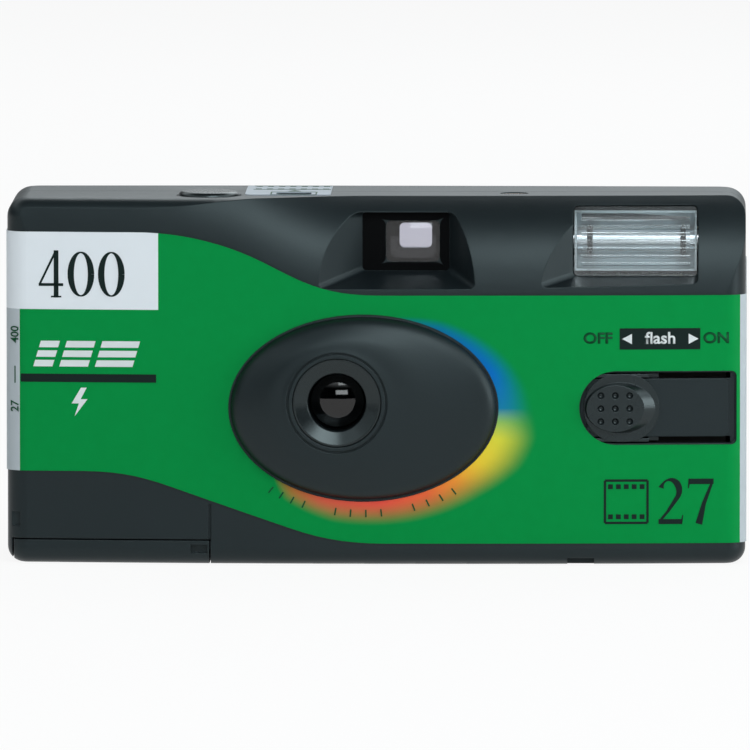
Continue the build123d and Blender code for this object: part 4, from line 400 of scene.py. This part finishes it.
# %% [markdown]
# ## The printed label
#
# The label is laminated paper, printed in one strong green, with a white panel at the upper left and pale
# ends that wrap round the corners. Round the lens mound a glow runs through blue, yellow and red.
# All of this is flat ink, so it is worked out from the place on the label, in millimetres. For the glow, ring
# is 1 on the mound's oval edge and grows outwards, and the glow fades with it. Its colour goes with the turn.

# %% Measures of the printing
PANEL_RIGHT_MM = -31.7
PANEL_LOW_MM = 37.25
LEFT_END_MM = -51.95
RIGHT_END_MM = 53.05
BACK_FROM_MM = 13.2
MOUND_CENTRE_MM = (-1.8, 23.0)
MOUND_HALF_MM = (19.35, 13.35)
GLOW_REACH = 0.30
GLOW_INKS = ((0.13, "#058a3c"), (0.165, "#c0783c"), (0.20, "#e2604a"), (0.27, "#ee5648"), (0.325, "#f06a40"),
             (0.365, "#f5983a"), (0.405, "#f3cf3c"), (0.45, "#e3dc44"), (0.478, "#8fbf62"), (0.50, "#1a7fa8"),
             (0.56, "#0a6cc0"), (0.66, "#0a70a0"), (0.73, "#058a3c"))
GLOW_WIDTHS = ((0.13, 0.0), (0.165, 0.62), (0.22, 0.95), (0.30, 1.05), (0.37, 1.08), (0.42, 1.25),
               (0.46, 1.2), (0.50, 0.95), (0.58, 0.75), (0.66, 0.5), (0.73, 0.0))

label_paper, tree = new_material("laminated_label_print")
place = add_node(tree, "TexCoord")
measured = add_node(tree, "VectorMath", [(0, place.outputs["Object"]), ("Scale", 1 / MM)],
                    operation="SCALE").outputs[0]
x, y, z = add_node(tree, "SeparateXYZ", [(0, measured)]).outputs
print("glow colours:", len(GLOW_INKS))

# %% Glow round the mound
from_middle = add_node(tree, "VectorMath", [(0, measured), (1, (MOUND_CENTRE_MM[0], 0, MOUND_CENTRE_MM[1]))],
                       operation="SUBTRACT").outputs[0]
in_halves = add_node(tree, "VectorMath", [(0, from_middle),
                                          (1, (1 / MOUND_HALF_MM[0], 0, 1 / MOUND_HALF_MM[1]))],
                     operation="MULTIPLY").outputs[0]
ring = add_node(tree, "VectorMath", [(0, in_halves)], operation="LENGTH").outputs["Value"]
oval = add_node(tree, "SeparateXYZ", [(0, in_halves)])
turn = add_node(tree, "Math", [(0, oval.outputs["Z"]), (1, oval.outputs["X"])],
                operation="ARCTAN2").outputs[0]
turn = add_node(tree, "Math", [(0, turn), (1, 1 / (2 * pi)), (2, 0.5)], operation="MULTIPLY_ADD").outputs[0]
hue = add_node(tree, "ValToRGB", [("Fac", turn)])
reach = add_node(tree, "ValToRGB", [("Fac", turn)])
for ramp, stops, colour_of in ((hue, GLOW_INKS, linear), (reach, GLOW_WIDTHS, lambda v: [v, v, v, 1.0])):
    while len(ramp.color_ramp.elements) < len(stops):
        ramp.color_ramp.elements.new(0.5)
    for element, (position, value) in zip(ramp.color_ramp.elements, stops):
        element.position = position
        element.color = colour_of(value)

width = add_node(tree, "Math", [(0, reach.outputs[0]), (1, GLOW_REACH)], operation="MULTIPLY").outputs[0]
width = add_node(tree, "Math", [(0, width), (1, 0.001)], operation="MAXIMUM").outputs[0]
past_edge = add_node(tree, "Math", [(0, ring), (1, 1.0)], operation="SUBTRACT").outputs[0]
fade = add_node(tree, "Math", [(0, past_edge), (1, width)], operation="DIVIDE").outputs[0]
strength = add_node(tree, "MapRange", [("Value", fade), ("From Min", 0.08), ("From Max", 1.0),
                                       ("To Min", 1.0), ("To Max", 0.0)],
                    interpolation_type="SMOOTHSTEP").outputs[0]
on_front = add_node(tree, "Math", [(0, y), (1, 0.0)], operation="LESS_THAN").outputs[0]
strength = add_node(tree, "Math", [(0, strength), (1, on_front)], operation="MULTIPLY").outputs[0]
print("label nodes so far:", len(tree.nodes))

# %% Green, pale ends and white panel
# Each area has its ink and its limits, and the later ones cover the earlier ones.
END_INK = "#b9c0c4"
NOT_ON_BACK = (y, "LESS_THAN", BACK_FROM_MM)
AREAS = ((END_INK, ((x, "LESS_THAN", LEFT_END_MM), NOT_ON_BACK)),
         (END_INK, ((x, "GREATER_THAN", RIGHT_END_MM), NOT_ON_BACK)),
         ("#e7ebef", ((x, "LESS_THAN", PANEL_RIGHT_MM), (z, "GREATER_THAN", PANEL_LOW_MM), NOT_ON_BACK)))

fibre = add_node(tree, "TexNoise", [("Vector", measured), ("Scale", 0.6), ("Detail", 4.0)]).outputs[0]
green = add_node(tree, "Mix", [("Factor", fibre), ("A", linear("#04893f")), ("B", linear("#058f44"))],
                 data_type="RGBA").outputs["Result"]
printed = add_node(tree, "Mix", [("Factor", strength), ("A", green), ("B", hue.outputs[0])],
                   data_type="RGBA").outputs["Result"]
for ink, limits in AREAS:
    inside = 1.0
    for axis, side, limit in limits:
        within = add_node(tree, "Math", [(0, axis), (1, limit)], operation=side)
        inside = add_node(tree, "Math", [(0, inside), (1, within.outputs[0])],
                          operation="MULTIPLY").outputs[0]
    printed = add_node(tree, "Mix", [("Factor", inside), ("A", printed), ("B", linear(ink))],
                       data_type="RGBA").outputs["Result"]
bump = add_node(tree, "Bump", [("Height", fibre), ("Distance", 0.01 * MM), ("Strength", 0.3)])
skin = add_node(tree, "BsdfPrincipled", [("Base Color", printed), ("Roughness", 0.4),
                                         ("Normal", bump.outputs[0]), ("Specular IOR Level", 0.05)])
add_node(tree, "OutputMaterial", [("Surface", skin.outputs[0])])
dress(label_paper, "wrap_label")

pale_paper = moulded_plastic("pale_top_label_paper", "#aab6c2", 0.3, 0.5, 0.004)
dress(pale_paper, "top_label")
print("label nodes:", len(tree.nodes))

# %% [markdown]
# ## Ink marks
#
# Digits, arrows and bars are thin flat shapes. Each is drawn flat, with X across and Y up, as it is seen from
# the front. A stroke is a grid strip whose points are moved to both sides of a line. A word is a text object
# turned into a mesh, and any other shape is a circle's disc whose points are moved to an outline.

# %% Drawing tools
CAPITAL_SHARE = 0.73  # a capital's height, as a share of the font's size


def only(*objects):
    """Selects these objects and nothing else, and makes the first one active."""
    bpy.ops.object.select_all(action="DESELECT")
    for item in objects:
        item.select_set(True)
    bpy.context.view_layer.objects.active = objects[0]


def stroke(points, widths):
    """A strip along a line in the drawing plane, with its own width at each point, in millimetres."""
    count = len(points)
    bpy.ops.mesh.primitive_grid_add(x_subdivisions=count - 1, y_subdivisions=1, size=1)
    strip = bpy.context.object
    order = sorted(strip.data.vertices, key=lambda v: (v.co.x, v.co.y))
    for index, (point, width) in enumerate(zip(points, widths)):
        before = Vector(points[max(index - 1, 0)])
        after = Vector(points[min(index + 1, count - 1)])
        along = (after - before).normalized()
        aside = Vector((-along.y, along.x)) * width / 2
        for vertex, sign in ((order[2 * index], -1), (order[2 * index + 1], 1)):
            vertex.co = (*((Vector(point) + aside * sign) * MM), 0)
    return strip


def long_strip(left, right, level, width, count=13):
    """A level strip with enough points to follow a bowed wall."""
    return stroke([(left + (right - left) * i / (count - 1), level) for i in range(count)], [width] * count)


def arc(centre, half_width, half_height, from_deg, to_deg, count):
    """Points along part of an ellipse."""
    turns = [radians(from_deg + (to_deg - from_deg) * i / (count - 1)) for i in range(count)]
    return [(centre[0] + half_width * cos(t), centre[1] + half_height * sin(t)) for t in turns]


def words(text, centre, height, width_share=1.0, bold_mm=0.0, turn_deg=0.0):
    """Letters in the built-in font, centred, as a flat mesh."""
    bpy.ops.object.text_add()
    letters = bpy.context.object
    letters.data.body = text
    letters.data.align_x = "CENTER"
    letters.data.align_y = "CENTER"
    letters.data.size = height * MM / CAPITAL_SHARE
    letters.data.offset = bold_mm * MM
    letters.scale.x = width_share
    letters.rotation_euler.z = radians(turn_deg)
    letters.location = (centre[0] * MM, centre[1] * MM, 0)
    bpy.ops.object.convert(target="MESH")
    bpy.ops.object.transform_apply()
    return bpy.context.object


def outline_shape(points, centre, half_height):
    """A flat shape from the points of its outline, given for a half height of one."""
    bpy.ops.mesh.primitive_circle_add(vertices=len(points), radius=MM, fill_type="NGON")
    shape = bpy.context.object
    for vertex, point in zip(shape.data.vertices, points):
        vertex.co = ((centre[0] + point[0] * half_height) * MM, (centre[1] + point[1] * half_height) * MM, 0)
    return shape


# %% [markdown]
# ### Laying ink on the camera
#
# Ink is a thin flat film on paper. The flat shapes are joined, stood up in front of the label, and laid on it
# with a shrink wrap that goes straight back. A solidify modifier then gives them the thickness of an ink
# film, drawn a little thick so that it shows.

# %% Laying tools
INK_MM = 0.03  # one film of ink
LAY_GAP_MM = 0.01  # between a film and what it lies on
ON_TOP_MM = INK_MM + 0.02  # how far a film over another one is lifted
MERGE_MM = 0.002  # points nearer than this become one
START_MM = 40.0  # where a drawing stands before it is laid, clear of the camera


def joined(name, shapes):
    """Joins flat shapes into one piece and merges the points that they share."""
    only(*shapes)
    if len(shapes) > 1:
        bpy.ops.object.join()
    piece = bpy.context.object
    piece.name = name
    bpy.ops.object.mode_set(mode="EDIT")
    bpy.ops.mesh.select_all(action="SELECT")
    bpy.ops.mesh.remove_doubles(threshold=MERGE_MM * MM)
    bpy.ops.object.mode_set(mode="OBJECT")
    return piece


def inked(piece, ink, body):
    """Gives flat shapes the thickness of an ink film, and a body to ride on."""
    only(piece)
    film = piece.modifiers.new("film", "SOLIDIFY")
    film.thickness = INK_MM * MM
    film.offset = 1.0
    bpy.ops.object.modifier_apply(modifier=film.name)
    piece.data.materials.clear()
    piece.data.materials.append(ink)
    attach(piece, body)
    return piece


def print_on(name, shapes, ink, carrier="wrap_label", back=False, lift=0.0):
    """Stands flat shapes up in front of a carrier, or behind it, and lays them on it."""
    piece = joined(name, shapes)
    side = -1 if back else 1
    for vertex in piece.data.vertices:
        vertex.co = (side * vertex.co.x, -side * START_MM * MM, vertex.co.y)
    for polygon in piece.data.polygons:
        if polygon.normal.y * side > 0:
            polygon.flip()
    wrap = piece.modifiers.new("lay", "SHRINKWRAP")
    wrap.target = nodes[carrier]
    wrap.wrap_method = "PROJECT"
    wrap.use_project_y = True
    wrap.use_negative_direction = back
    wrap.use_positive_direction = not back
    wrap.offset = (LAY_GAP_MM + lift) * MM
    bpy.ops.object.modifier_apply(modifier=wrap.name)
    return inked(piece, ink, "camera")


def print_level(name, shapes, ink, height_mm, body="camera"):
    """Prints flat shapes, drawn in the top view, on a level surface."""
    piece = joined(name, shapes)
    for vertex in piece.data.vertices:
        vertex.co.z = height_mm * MM
    for polygon in piece.data.polygons:
        if polygon.normal.z < 0:
            polygon.flip()
    return inked(piece, ink, body)


# %% Inks
black_ink = moulded_plastic("black_printing_ink", "#10201e", 0.4, 0.5, 0.002, 0.12)
green_black_ink = moulded_plastic("overprinted_dark_green_ink", "#064a2a", 0.4, 0.5, 0.002, 0.12)
white_ink = moulded_plastic("white_printing_ink", "#dfe4e4", 0.4, 0.5, 0.002, 0.2)
print("inks:", black_ink.name, green_black_ink.name, white_ink.name)


# %% [markdown]
# ### Digits
#
# The large digits are narrow ones with thick and thin strokes and small feet, in an old book style.
# They are drawn in a cell of one unit height, and scaled to their size on the label.

# %% Digit shapes
def digit_strokes(digit, left, low, height):
    """Strokes of one digit. Its cell is 0.62 of its height wide."""
    u = height

    def at(points):
        return [(left + px * u, low + py * u) for px, py in points]

    def thick(values):
        return [v * u for v in values]

    if digit == "0":
        outline = arc((0.30, 0.5), 0.215, 0.46, 0, 360, 41)
        weights = [0.105 * abs(cos(2 * pi * i / 40)) ** 1.3 + 0.03 for i in range(41)]
        return [stroke(at(outline), thick(weights))]
    if digit == "4":
        return [stroke(at([(0.42, 0.0), (0.42, 1.0)]), thick([0.10, 0.10])),
                stroke(at([(0.41, 0.98), (0.08, 0.30)]), thick([0.045, 0.045])),
                stroke(at([(0.05, 0.275), (0.57, 0.275)]), thick([0.06, 0.06])),
                stroke(at([(0.31, 0.02), (0.53, 0.02)]), thick([0.035, 0.035]))]
    if digit == "2":
        bow = arc((0.28, 0.73), 0.20, 0.24, 165, -35, 17)
        weights = [0.12, 0.08, 0.05, 0.04, 0.04, 0.05, 0.07, 0.09, 0.11, 0.13, 0.14, 0.14, 0.14, 0.13, 0.12,
                   0.11, 0.10, 0.06, 0.05]
        return [stroke(at(bow + [(0.22, 0.26), (0.06, 0.07)]), thick(weights)),
                stroke(at([(0.03, 0.055), (0.54, 0.055)]), thick([0.11, 0.11])),
                stroke(at([(0.52, 0.0), (0.56, 0.20)]), thick([0.05, 0.02]))]
    return [stroke(at([(0.03, 0.93), (0.57, 0.93)]), thick([0.12, 0.12])),
            stroke(at([(0.05, 0.99), (0.02, 0.78)]), thick([0.05, 0.02])),
            stroke(at([(0.54, 0.92), (0.36, 0.45), (0.25, 0.0)]), thick([0.05, 0.09, 0.15]))]


def number_strokes(text, left, low, height, pitch):
    """Strokes of a whole number."""
    found = []
    for index, digit in enumerate(text):
        found += digit_strokes(digit, left + index * pitch, low, height)
    return found


# Each number has its left, its low edge, its height and its pitch.
SPEED_PLACE_MM = (-49.5, 38.95, 6.9, 4.45)
FRAMES_PLACE_MM = (41.0, 6.0, 6.7, 4.4)
speed = print_on("film_speed_digits", number_strokes("400", *SPEED_PLACE_MM), black_ink)
frames = print_on("frame_count_digits", number_strokes("27", *FRAMES_PLACE_MM), black_ink)
print("digits:", len(speed.data.polygons), "and", len(frames.data.polygons), "faces")

# %% [markdown]
# ### Bars and stripes
#
# A black bar splits the left block. Slanted white stripes stand above it, and a small lightning bolt below.
# A stripe is drawn upright, and its points are then moved sideways by a share of their height.

# %% Marks on the left
BAR_MM = (-51.8, -32.0, 27.2, 1.2)
STRIPE_LEAN = 0.3
STRIPE_SPANS_MM = ((-49.4, -46.6), (-45.6, -41.4), (-40.4, -34.9))
STRIPE_LEVELS_MM = (29.35, 30.75, 32.15)
STRIPE_WIDTH_MM = 0.95
BOLT_OUTLINE = ((0.1, 1.0), (-0.55, -0.1), (-0.05, -0.1), (-0.35, -1.0), (0.55, 0.2), (0.08, 0.2), (0.5, 1.0))

print_on("black_bar", [long_strip(*BAR_MM, count=41)], black_ink)
stripes = [stroke([(left, level), (right, level)], [STRIPE_WIDTH_MM] * 2)
           for left, right in STRIPE_SPANS_MM for level in STRIPE_LEVELS_MM]
for stripe in stripes:
    for vertex in stripe.data.vertices:
        vertex.co.x += STRIPE_LEAN * (vertex.co.y - STRIPE_LEVELS_MM[1] * MM)
stripes = print_on("white_stripes", stripes, white_ink)
print_on("lightning_bolt", [outline_shape(BOLT_OUTLINE, (-43.2, 23.7), 2.1)], white_ink)
print("stripes:", len(stripes.data.polygons), "faces")

# %% [markdown]
# ### The switch's sign
#
# Over the switch stand OFF and ON, and between them a black box with a word and two arrows in white. The
# white ink lies on the black one, so it is lifted by a little more than one film of ink.

# %% Switch sign
SIGN_BOX_MM = (35.5, 47.25, 33.1, 3.1)
SIGN_LEVEL_MM = SIGN_BOX_MM[2]
WORD_LEVEL_MM = 33.15

print_on("switch_sign_box", [long_strip(*SIGN_BOX_MM, count=11)], black_ink)
print_on("off_and_on", [words(text, (middle, WORD_LEVEL_MM), 1.6, 1.1, 0.07)
                        for text, middle in (("OFF", 32.35), ("ON", 49.6))], green_black_ink)
arrows = [stroke([(tip, SIGN_LEVEL_MM), (foot, SIGN_LEVEL_MM)], [0.03, 1.5])
          for tip, foot in ((35.9, 37.3), (46.95, 45.55))]
flash = words("flash", (41.45, WORD_LEVEL_MM), 1.75, 1.05, 0.05)
sign = print_on("switch_arrows", arrows + [flash], white_ink, lift=ON_TOP_MM)
print("switch sign:", len(sign.data.polygons), "faces")

# %% [markdown]
# ### Small marks and the film sign
#
# Short tick marks follow the mound's lower edge in three groups. A film frame with its sprocket holes stands
# beside the number of pictures.

# %% Small marks round the mound, and the film sign
MARK_TURNS = (-129, -124, -119, -114, -101, -95, -89, -83, -70, -64, -58, -52)
MARK_GAPS_MM = (1.5, 2.6)
FILM_LEFT_MM = 33.4
FILM_LOW_MM = 6.2
FILM_SIDE_MM = 6.2
FILM_LINE_MM = 0.35
HOLE_MM = 0.7
HOLE_START_MM = 0.45
HOLE_PITCH_MM = 1.15

marks = []
for turn_deg in MARK_TURNS:
    across, up = cos(radians(turn_deg)), sin(radians(turn_deg))
    tips = [(MOUND_CENTRE_MM[0] + (MOUND_HALF_MM[0] + gap) * across,
             MOUND_CENTRE_MM[1] + (MOUND_HALF_MM[1] + gap) * up) for gap in MARK_GAPS_MM]
    marks.append(stroke(tips, [0.22] * 2))
print_on("marks_under_mound", marks, green_black_ink)

right, top = FILM_LEFT_MM + FILM_SIDE_MM, FILM_LOW_MM + FILM_SIDE_MM
edge = [stroke([(FILM_LEFT_MM, level), (right, level)], [FILM_LINE_MM] * 2) for level in (FILM_LOW_MM, top)]
edge += [stroke([(left, FILM_LOW_MM), (left, top)], [FILM_LINE_MM] * 2) for left in (FILM_LEFT_MM, right)]
for level in (FILM_LOW_MM + 0.9, FILM_LOW_MM + 5.3):
    for left in [FILM_LEFT_MM + HOLE_START_MM + HOLE_PITCH_MM * i for i in range(5)]:
        edge.append(stroke([(left, level), (left + HOLE_MM, level)], [HOLE_MM] * 2))
film_sign = print_on("film_sign", edge, black_ink)
print("film sign:", len(film_sign.data.polygons), "faces")

# %% [markdown]
# ### Numbers on the left end
#
# The pale strip at the left carries the frame count and the film speed, read from the bottom up. The label
# turns the corner there, so the numbers are lifted a little to stay clear of it.

# %% Left end
END_MIDDLE_MM = -52.65
END_LIFT_MM = 0.07

end_words = [words(text, (END_MIDDLE_MM, level), 1.2, 1.0, 0.02, 90)
             for text, level in (("27", 23.0), ("400", 33.5))]
end_numbers = print_on("left_end_numbers", end_words, green_black_ink, lift=END_LIFT_MM)
print_on("left_end_rule", [stroke([(END_MIDDLE_MM, 26.4), (END_MIDDLE_MM, 28.9)], [0.16] * 2)],
         green_black_ink)
print("left end:", len(end_numbers.data.polygons), "faces")

# %% [markdown]
# ### The back
#
# The back of the label shows how the camera is used, in pictures: turn the wheel, slide the switch, press the
# button. A white panel holds the three steps with a number each, and an arrow under the wheel shows its turn.
# The drawing is made as it is seen from behind, so its left is the camera's right.

# %% Printing on the back
BACK_PANEL_MM = (-44.0, 22.0, 20.5, 21.0)
STEP_PITCH_MM = 21.0
STEP_WIDTH_MM = 18.0
STEP_LOW_MM = 12.0
STEP_HIGH_MM = 24.5
CAPTION_MM = 27.9
PICTURE_MM = 18.2


def frame_line(left, right, low, high, width):
    """Four strips round a rectangle."""
    half = width / 2
    return [stroke([(left - half, low), (right + half, low)], [width, width]),
            stroke([(left - half, high), (right + half, high)], [width, width]),
            stroke([(left, low), (left, high)], [width, width]),
            stroke([(right, low), (right, high)], [width, width])]


print_on("back_white_panel", [long_strip(*BACK_PANEL_MM)], white_ink, back=True)
step_shapes = []
for index in range(3):
    left = BACK_PANEL_MM[0] + 3.0 + index * STEP_PITCH_MM
    step_shapes += frame_line(left, left + STEP_WIDTH_MM, STEP_LOW_MM, STEP_HIGH_MM, 0.3)
    step_shapes.append(words(str(index + 1), (left + 1.6, CAPTION_MM), 2.8, 1.0, 0.06))
    step_shapes.append(stroke([(left + 4.2, CAPTION_MM), (left + STEP_WIDTH_MM, CAPTION_MM)], [0.25, 0.25]))

# %% The three pictures: a wheel with its turn, a switch that slides, and a button that is pressed
wheel = BACK_PANEL_MM[0] + 12.0
step_shapes += [stroke(arc((wheel, PICTURE_MM), 4.3, 4.3, 0, 360, 33), [0.5] * 33),
                stroke(arc((wheel, PICTURE_MM), 1.2, 1.2, 0, 360, 17), [0.4] * 17),
                stroke(arc((wheel, PICTURE_MM), 2.8, 2.8, 150, 20, 13), [0.45] * 13),
                stroke([(wheel + 2.1, 19.9), (wheel + 2.9, 17.9)], [1.8, 0.05])]
slide = wheel + STEP_PITCH_MM
step_shapes += [stroke(arc((slide + 3.4, PICTURE_MM), 2.2, 2.2, -90, 90, 13)
                       + arc((slide - 3.4, PICTURE_MM), 2.2, 2.2, 90, 270, 13)
                       + [(slide + 3.4, 16.0)], [0.4] * 27),
                stroke([(slide - 4.6, PICTURE_MM), (slide - 1.6, PICTURE_MM)], [2.6, 2.6]),
                stroke([(slide - 0.6, PICTURE_MM), (slide + 2.4, PICTURE_MM)], [0.5, 0.5]),
                stroke([(slide + 2.4, PICTURE_MM), (slide + 4.4, PICTURE_MM)], [1.9, 0.05])]
press = slide + STEP_PITCH_MM
step_shapes += [stroke([(press - 6.5, 14.6), (press + 6.5, 14.6)], [1.0, 1.0]),
                stroke([(press - 2.6, 15.75), (press + 2.6, 15.75)], [1.3, 1.3]),
                stroke([(press, 22.8), (press, 19.6)], [0.6, 0.6]),
                stroke([(press, 19.6), (press, 17.2)], [2.4, 0.05])]
back_steps = print_on("back_three_steps", step_shapes, green_black_ink, back=True, lift=ON_TOP_MM)
print("three steps:", len(back_steps.data.polygons), "faces")

# %% Arrow, bolt and lines on the back
BOLT_LIFT_MM = 0.04

arrow = [long_strip(31.0, 41.0, 38.6, 1.3), stroke([(41.0, 38.6), (44.6, 38.6)], [3.6, 0.05])]
print_on("back_wheel_arrow", arrow, white_ink, back=True)
print_on("back_bolt", [outline_shape(BOLT_OUTLINE, (35.0, 25.5), 4.6)], white_ink, back=True,
         lift=BOLT_LIFT_MM)
back_lines = print_on("back_end_stripes", [long_strip(-50.5, 50.5, level, 0.5) for level in (41.2, 6.6)],
                      white_ink, back=True)
print("lines on the back:", len(back_lines.data.polygons), "faces")

# %% [markdown]
# ### Numbers on the dial, and the top
#
# The counter is a small white wheel under a window. Its numbers run from 27 down to 0, in steps of three, and
# one shows at a time. They are read from behind, so each digit's top points outwards from the wheel's axis.
# The pale label round the window has a thin frame and a small pointer.

# %% Dial numbers and the frame on the top label
DIAL_AXIS_MM = (-12.2, 2.4)
DIAL_TOP_MM = 51.2
NUMBER_RING_MM = 4.75
dial_numbers = []
for index, count in enumerate(range(27, -1, -3)):
    turn_deg = -90 + 36 * index
    at = (DIAL_AXIS_MM[0] + NUMBER_RING_MM * cos(radians(turn_deg)),
          DIAL_AXIS_MM[1] + NUMBER_RING_MM * sin(radians(turn_deg)))
    dial_numbers.append(words(str(count), at, 1.55, 0.9, 0.03, turn_deg - 90))
dial_print = print_level("counter_numbers", dial_numbers, black_ink, DIAL_TOP_MM + LAY_GAP_MM, "counter")

WINDOW_CENTRE_MM = (-12.2, -2.4)
TOP_LABEL_MM = 53.5
middle, depth = WINDOW_CENTRE_MM
window_frame = frame_line(middle - 3.3, middle + 3.3, depth - 2.4, depth + 2.4, 0.22)
pointer = stroke([(middle, 3.6), (middle, 1.4)], [0.05, 1.8])
strip_marks = [stroke([(-18.0 + 1.65 * i, level), (-17.1 + 1.65 * i, level)], [0.7, 0.7])
               for i in range(7) for level in (6.0, 10.8)]
strip_marks += [stroke([(-18.3, level), (-6.9, level)], [0.22, 0.22]) for level in (5.1, 11.7)]
top_print = print_level("top_label_print", window_frame + [pointer] + strip_marks, green_black_ink,
                        TOP_LABEL_MM + LAY_GAP_MM)
print("dial and top print:", len(dial_print.data.polygons), len(top_print.data.polygons), "faces")

# %% [markdown]
# ## Painted shade in the viewfinder well
#
# The floor of the well round the viewfinder window is covered by a near-black sheet. The sheet paints the
# shade that falls in the well on the floor's own plastic. It is a thin film with a window: a plane is inset
# in edit mode, the corners of its inner face are rounded, the face is deleted, and the sheet gets its
# thickness.

# %% Painted shade sheet in the viewfinder well
SHADE_SHEET_BOX_MM = (-2.05, 10.65, 42.65, 51.1)
SHADE_SHEET_WINDOW_MM = (1.35, 9.25, 43.85, 49.95)
SHADE_SHEET_FACE_MM = -7.34
SHADE_SHEET_THICKNESS_MM = 0.09
SHADE_SHEET_CORNER_MM = 0.7

left, right, low, high = SHADE_SHEET_BOX_MM
bpy.ops.object.select_all(action="DESELECT")
bpy.ops.mesh.primitive_plane_add(size=1, rotation=(pi / 2, 0, 0),
                                 location=((left + right) / 2 * MM, SHADE_SHEET_FACE_MM * MM, (low + high) / 2 * MM))
shade_sheet = bpy.context.object
shade_sheet.name = "finder_painted_shade_sheet"
shade_sheet.scale = ((right - left) * MM, (high - low) * MM, 1)
bpy.ops.object.transform_apply()
bpy.ops.object.mode_set(mode="EDIT")
bpy.ops.mesh.select_all(action="SELECT")
bpy.ops.mesh.inset(thickness=1.0 * MM)
bpy.ops.object.mode_set(mode="OBJECT")
inner_face = min(shade_sheet.data.polygons, key=lambda face: face.area if face.select else 1.0)
left, right, low, high = SHADE_SHEET_WINDOW_MM
for index in inner_face.vertices:
    corner = shade_sheet.data.vertices[index].co
    corner.x = (left if corner.x < (left + right) / 2 * MM else right) * MM
    corner.z = (low if corner.z < (low + high) / 2 * MM else high) * MM
bpy.ops.object.mode_set(mode="EDIT")
bpy.ops.mesh.bevel(offset=SHADE_SHEET_CORNER_MM * MM, segments=4, affect="VERTICES")
bpy.ops.mesh.delete(type="FACE")
bpy.ops.object.mode_set(mode="OBJECT")
sheet = shade_sheet.modifiers.new("sheet", "SOLIDIFY")
sheet.thickness = SHADE_SHEET_THICKNESS_MM * MM
bpy.ops.object.modifier_apply(modifier=sheet.name)
# The sheet's near-black colour is painted shade for the well's floor, which is the same plastic as the front.
painted_shade_film = moulded_plastic("painted_shade_black_film", "#060708", 0.8, 0.25, 0.004, 0.06)
shade_sheet.data.materials.append(painted_shade_film)
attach(shade_sheet, "camera")
print("finder mask:", len(shade_sheet.data.polygons), "faces")

# %% [markdown]
# ## Seats of the flash tube
#
# Near each end the glass tube sits in a dark rubber ring, which shows through the window as a dark band.
# A ring with a square section is a torus with four sides, and a bevel rounds its corners.

# %% Tube seats
TUBE_AXIS_MM = (-3.2, 46.9)
SEAT_PLACES_MM = (31.1, 44.7)
SEAT_RADIUS_MM = 1.85
SEAT_SECTION_MM = 0.45
SEAT_CORNER_MM = 0.12
rubber = moulded_plastic("black_silicone_rubber", "#101314", 0.55, 0.2, 0.006, 0.4)


def tube_seat(name, x_mm):
    """One square-section ring round the flash tube, with rounded corners."""
    bpy.ops.object.select_all(action="DESELECT")
    bpy.ops.mesh.primitive_torus_add(location=(x_mm * MM, TUBE_AXIS_MM[0] * MM, TUBE_AXIS_MM[1] * MM),
                                     rotation=(0, pi / 2, 0), major_radius=SEAT_RADIUS_MM * MM,
                                     minor_radius=SEAT_SECTION_MM * MM, major_segments=48, minor_segments=4)
    ring = bpy.context.object
    ring.name = name
    bpy.ops.object.transform_apply()
    corners = ring.modifiers.new("corners", "BEVEL")
    corners.width = SEAT_CORNER_MM * MM
    corners.segments = 2
    bpy.ops.object.modifier_apply(modifier=corners.name)
    bpy.ops.object.shade_smooth_by_angle(angle=radians(40))
    ring.data.materials.append(rubber)
    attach(ring, "camera")
    return ring


seats = [tube_seat("tube_seat_" + side, x_mm) for side, x_mm in zip(("left", "right"), SEAT_PLACES_MM)]
print("tube seats:", [len(seat.data.polygons) for seat in seats], "faces")

# %% [markdown]
# ## The button's return spring
#
# A coil spring closes up when the button goes down, and a rigid solid can't. So a piece with the coil's own
# shape stands for it. It starts as a small plane, which then takes a copy of the coil's mesh and finish.

bpy.ops.object.select_all(action="DESELECT")
bpy.ops.mesh.primitive_plane_add(size=MM)
return_coil = bpy.context.object
return_coil.name = "return_coil"
return_coil.data = nodes["button_spring"].data.copy()
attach(return_coil, "camera")
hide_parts("button_spring")
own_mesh(return_coil)
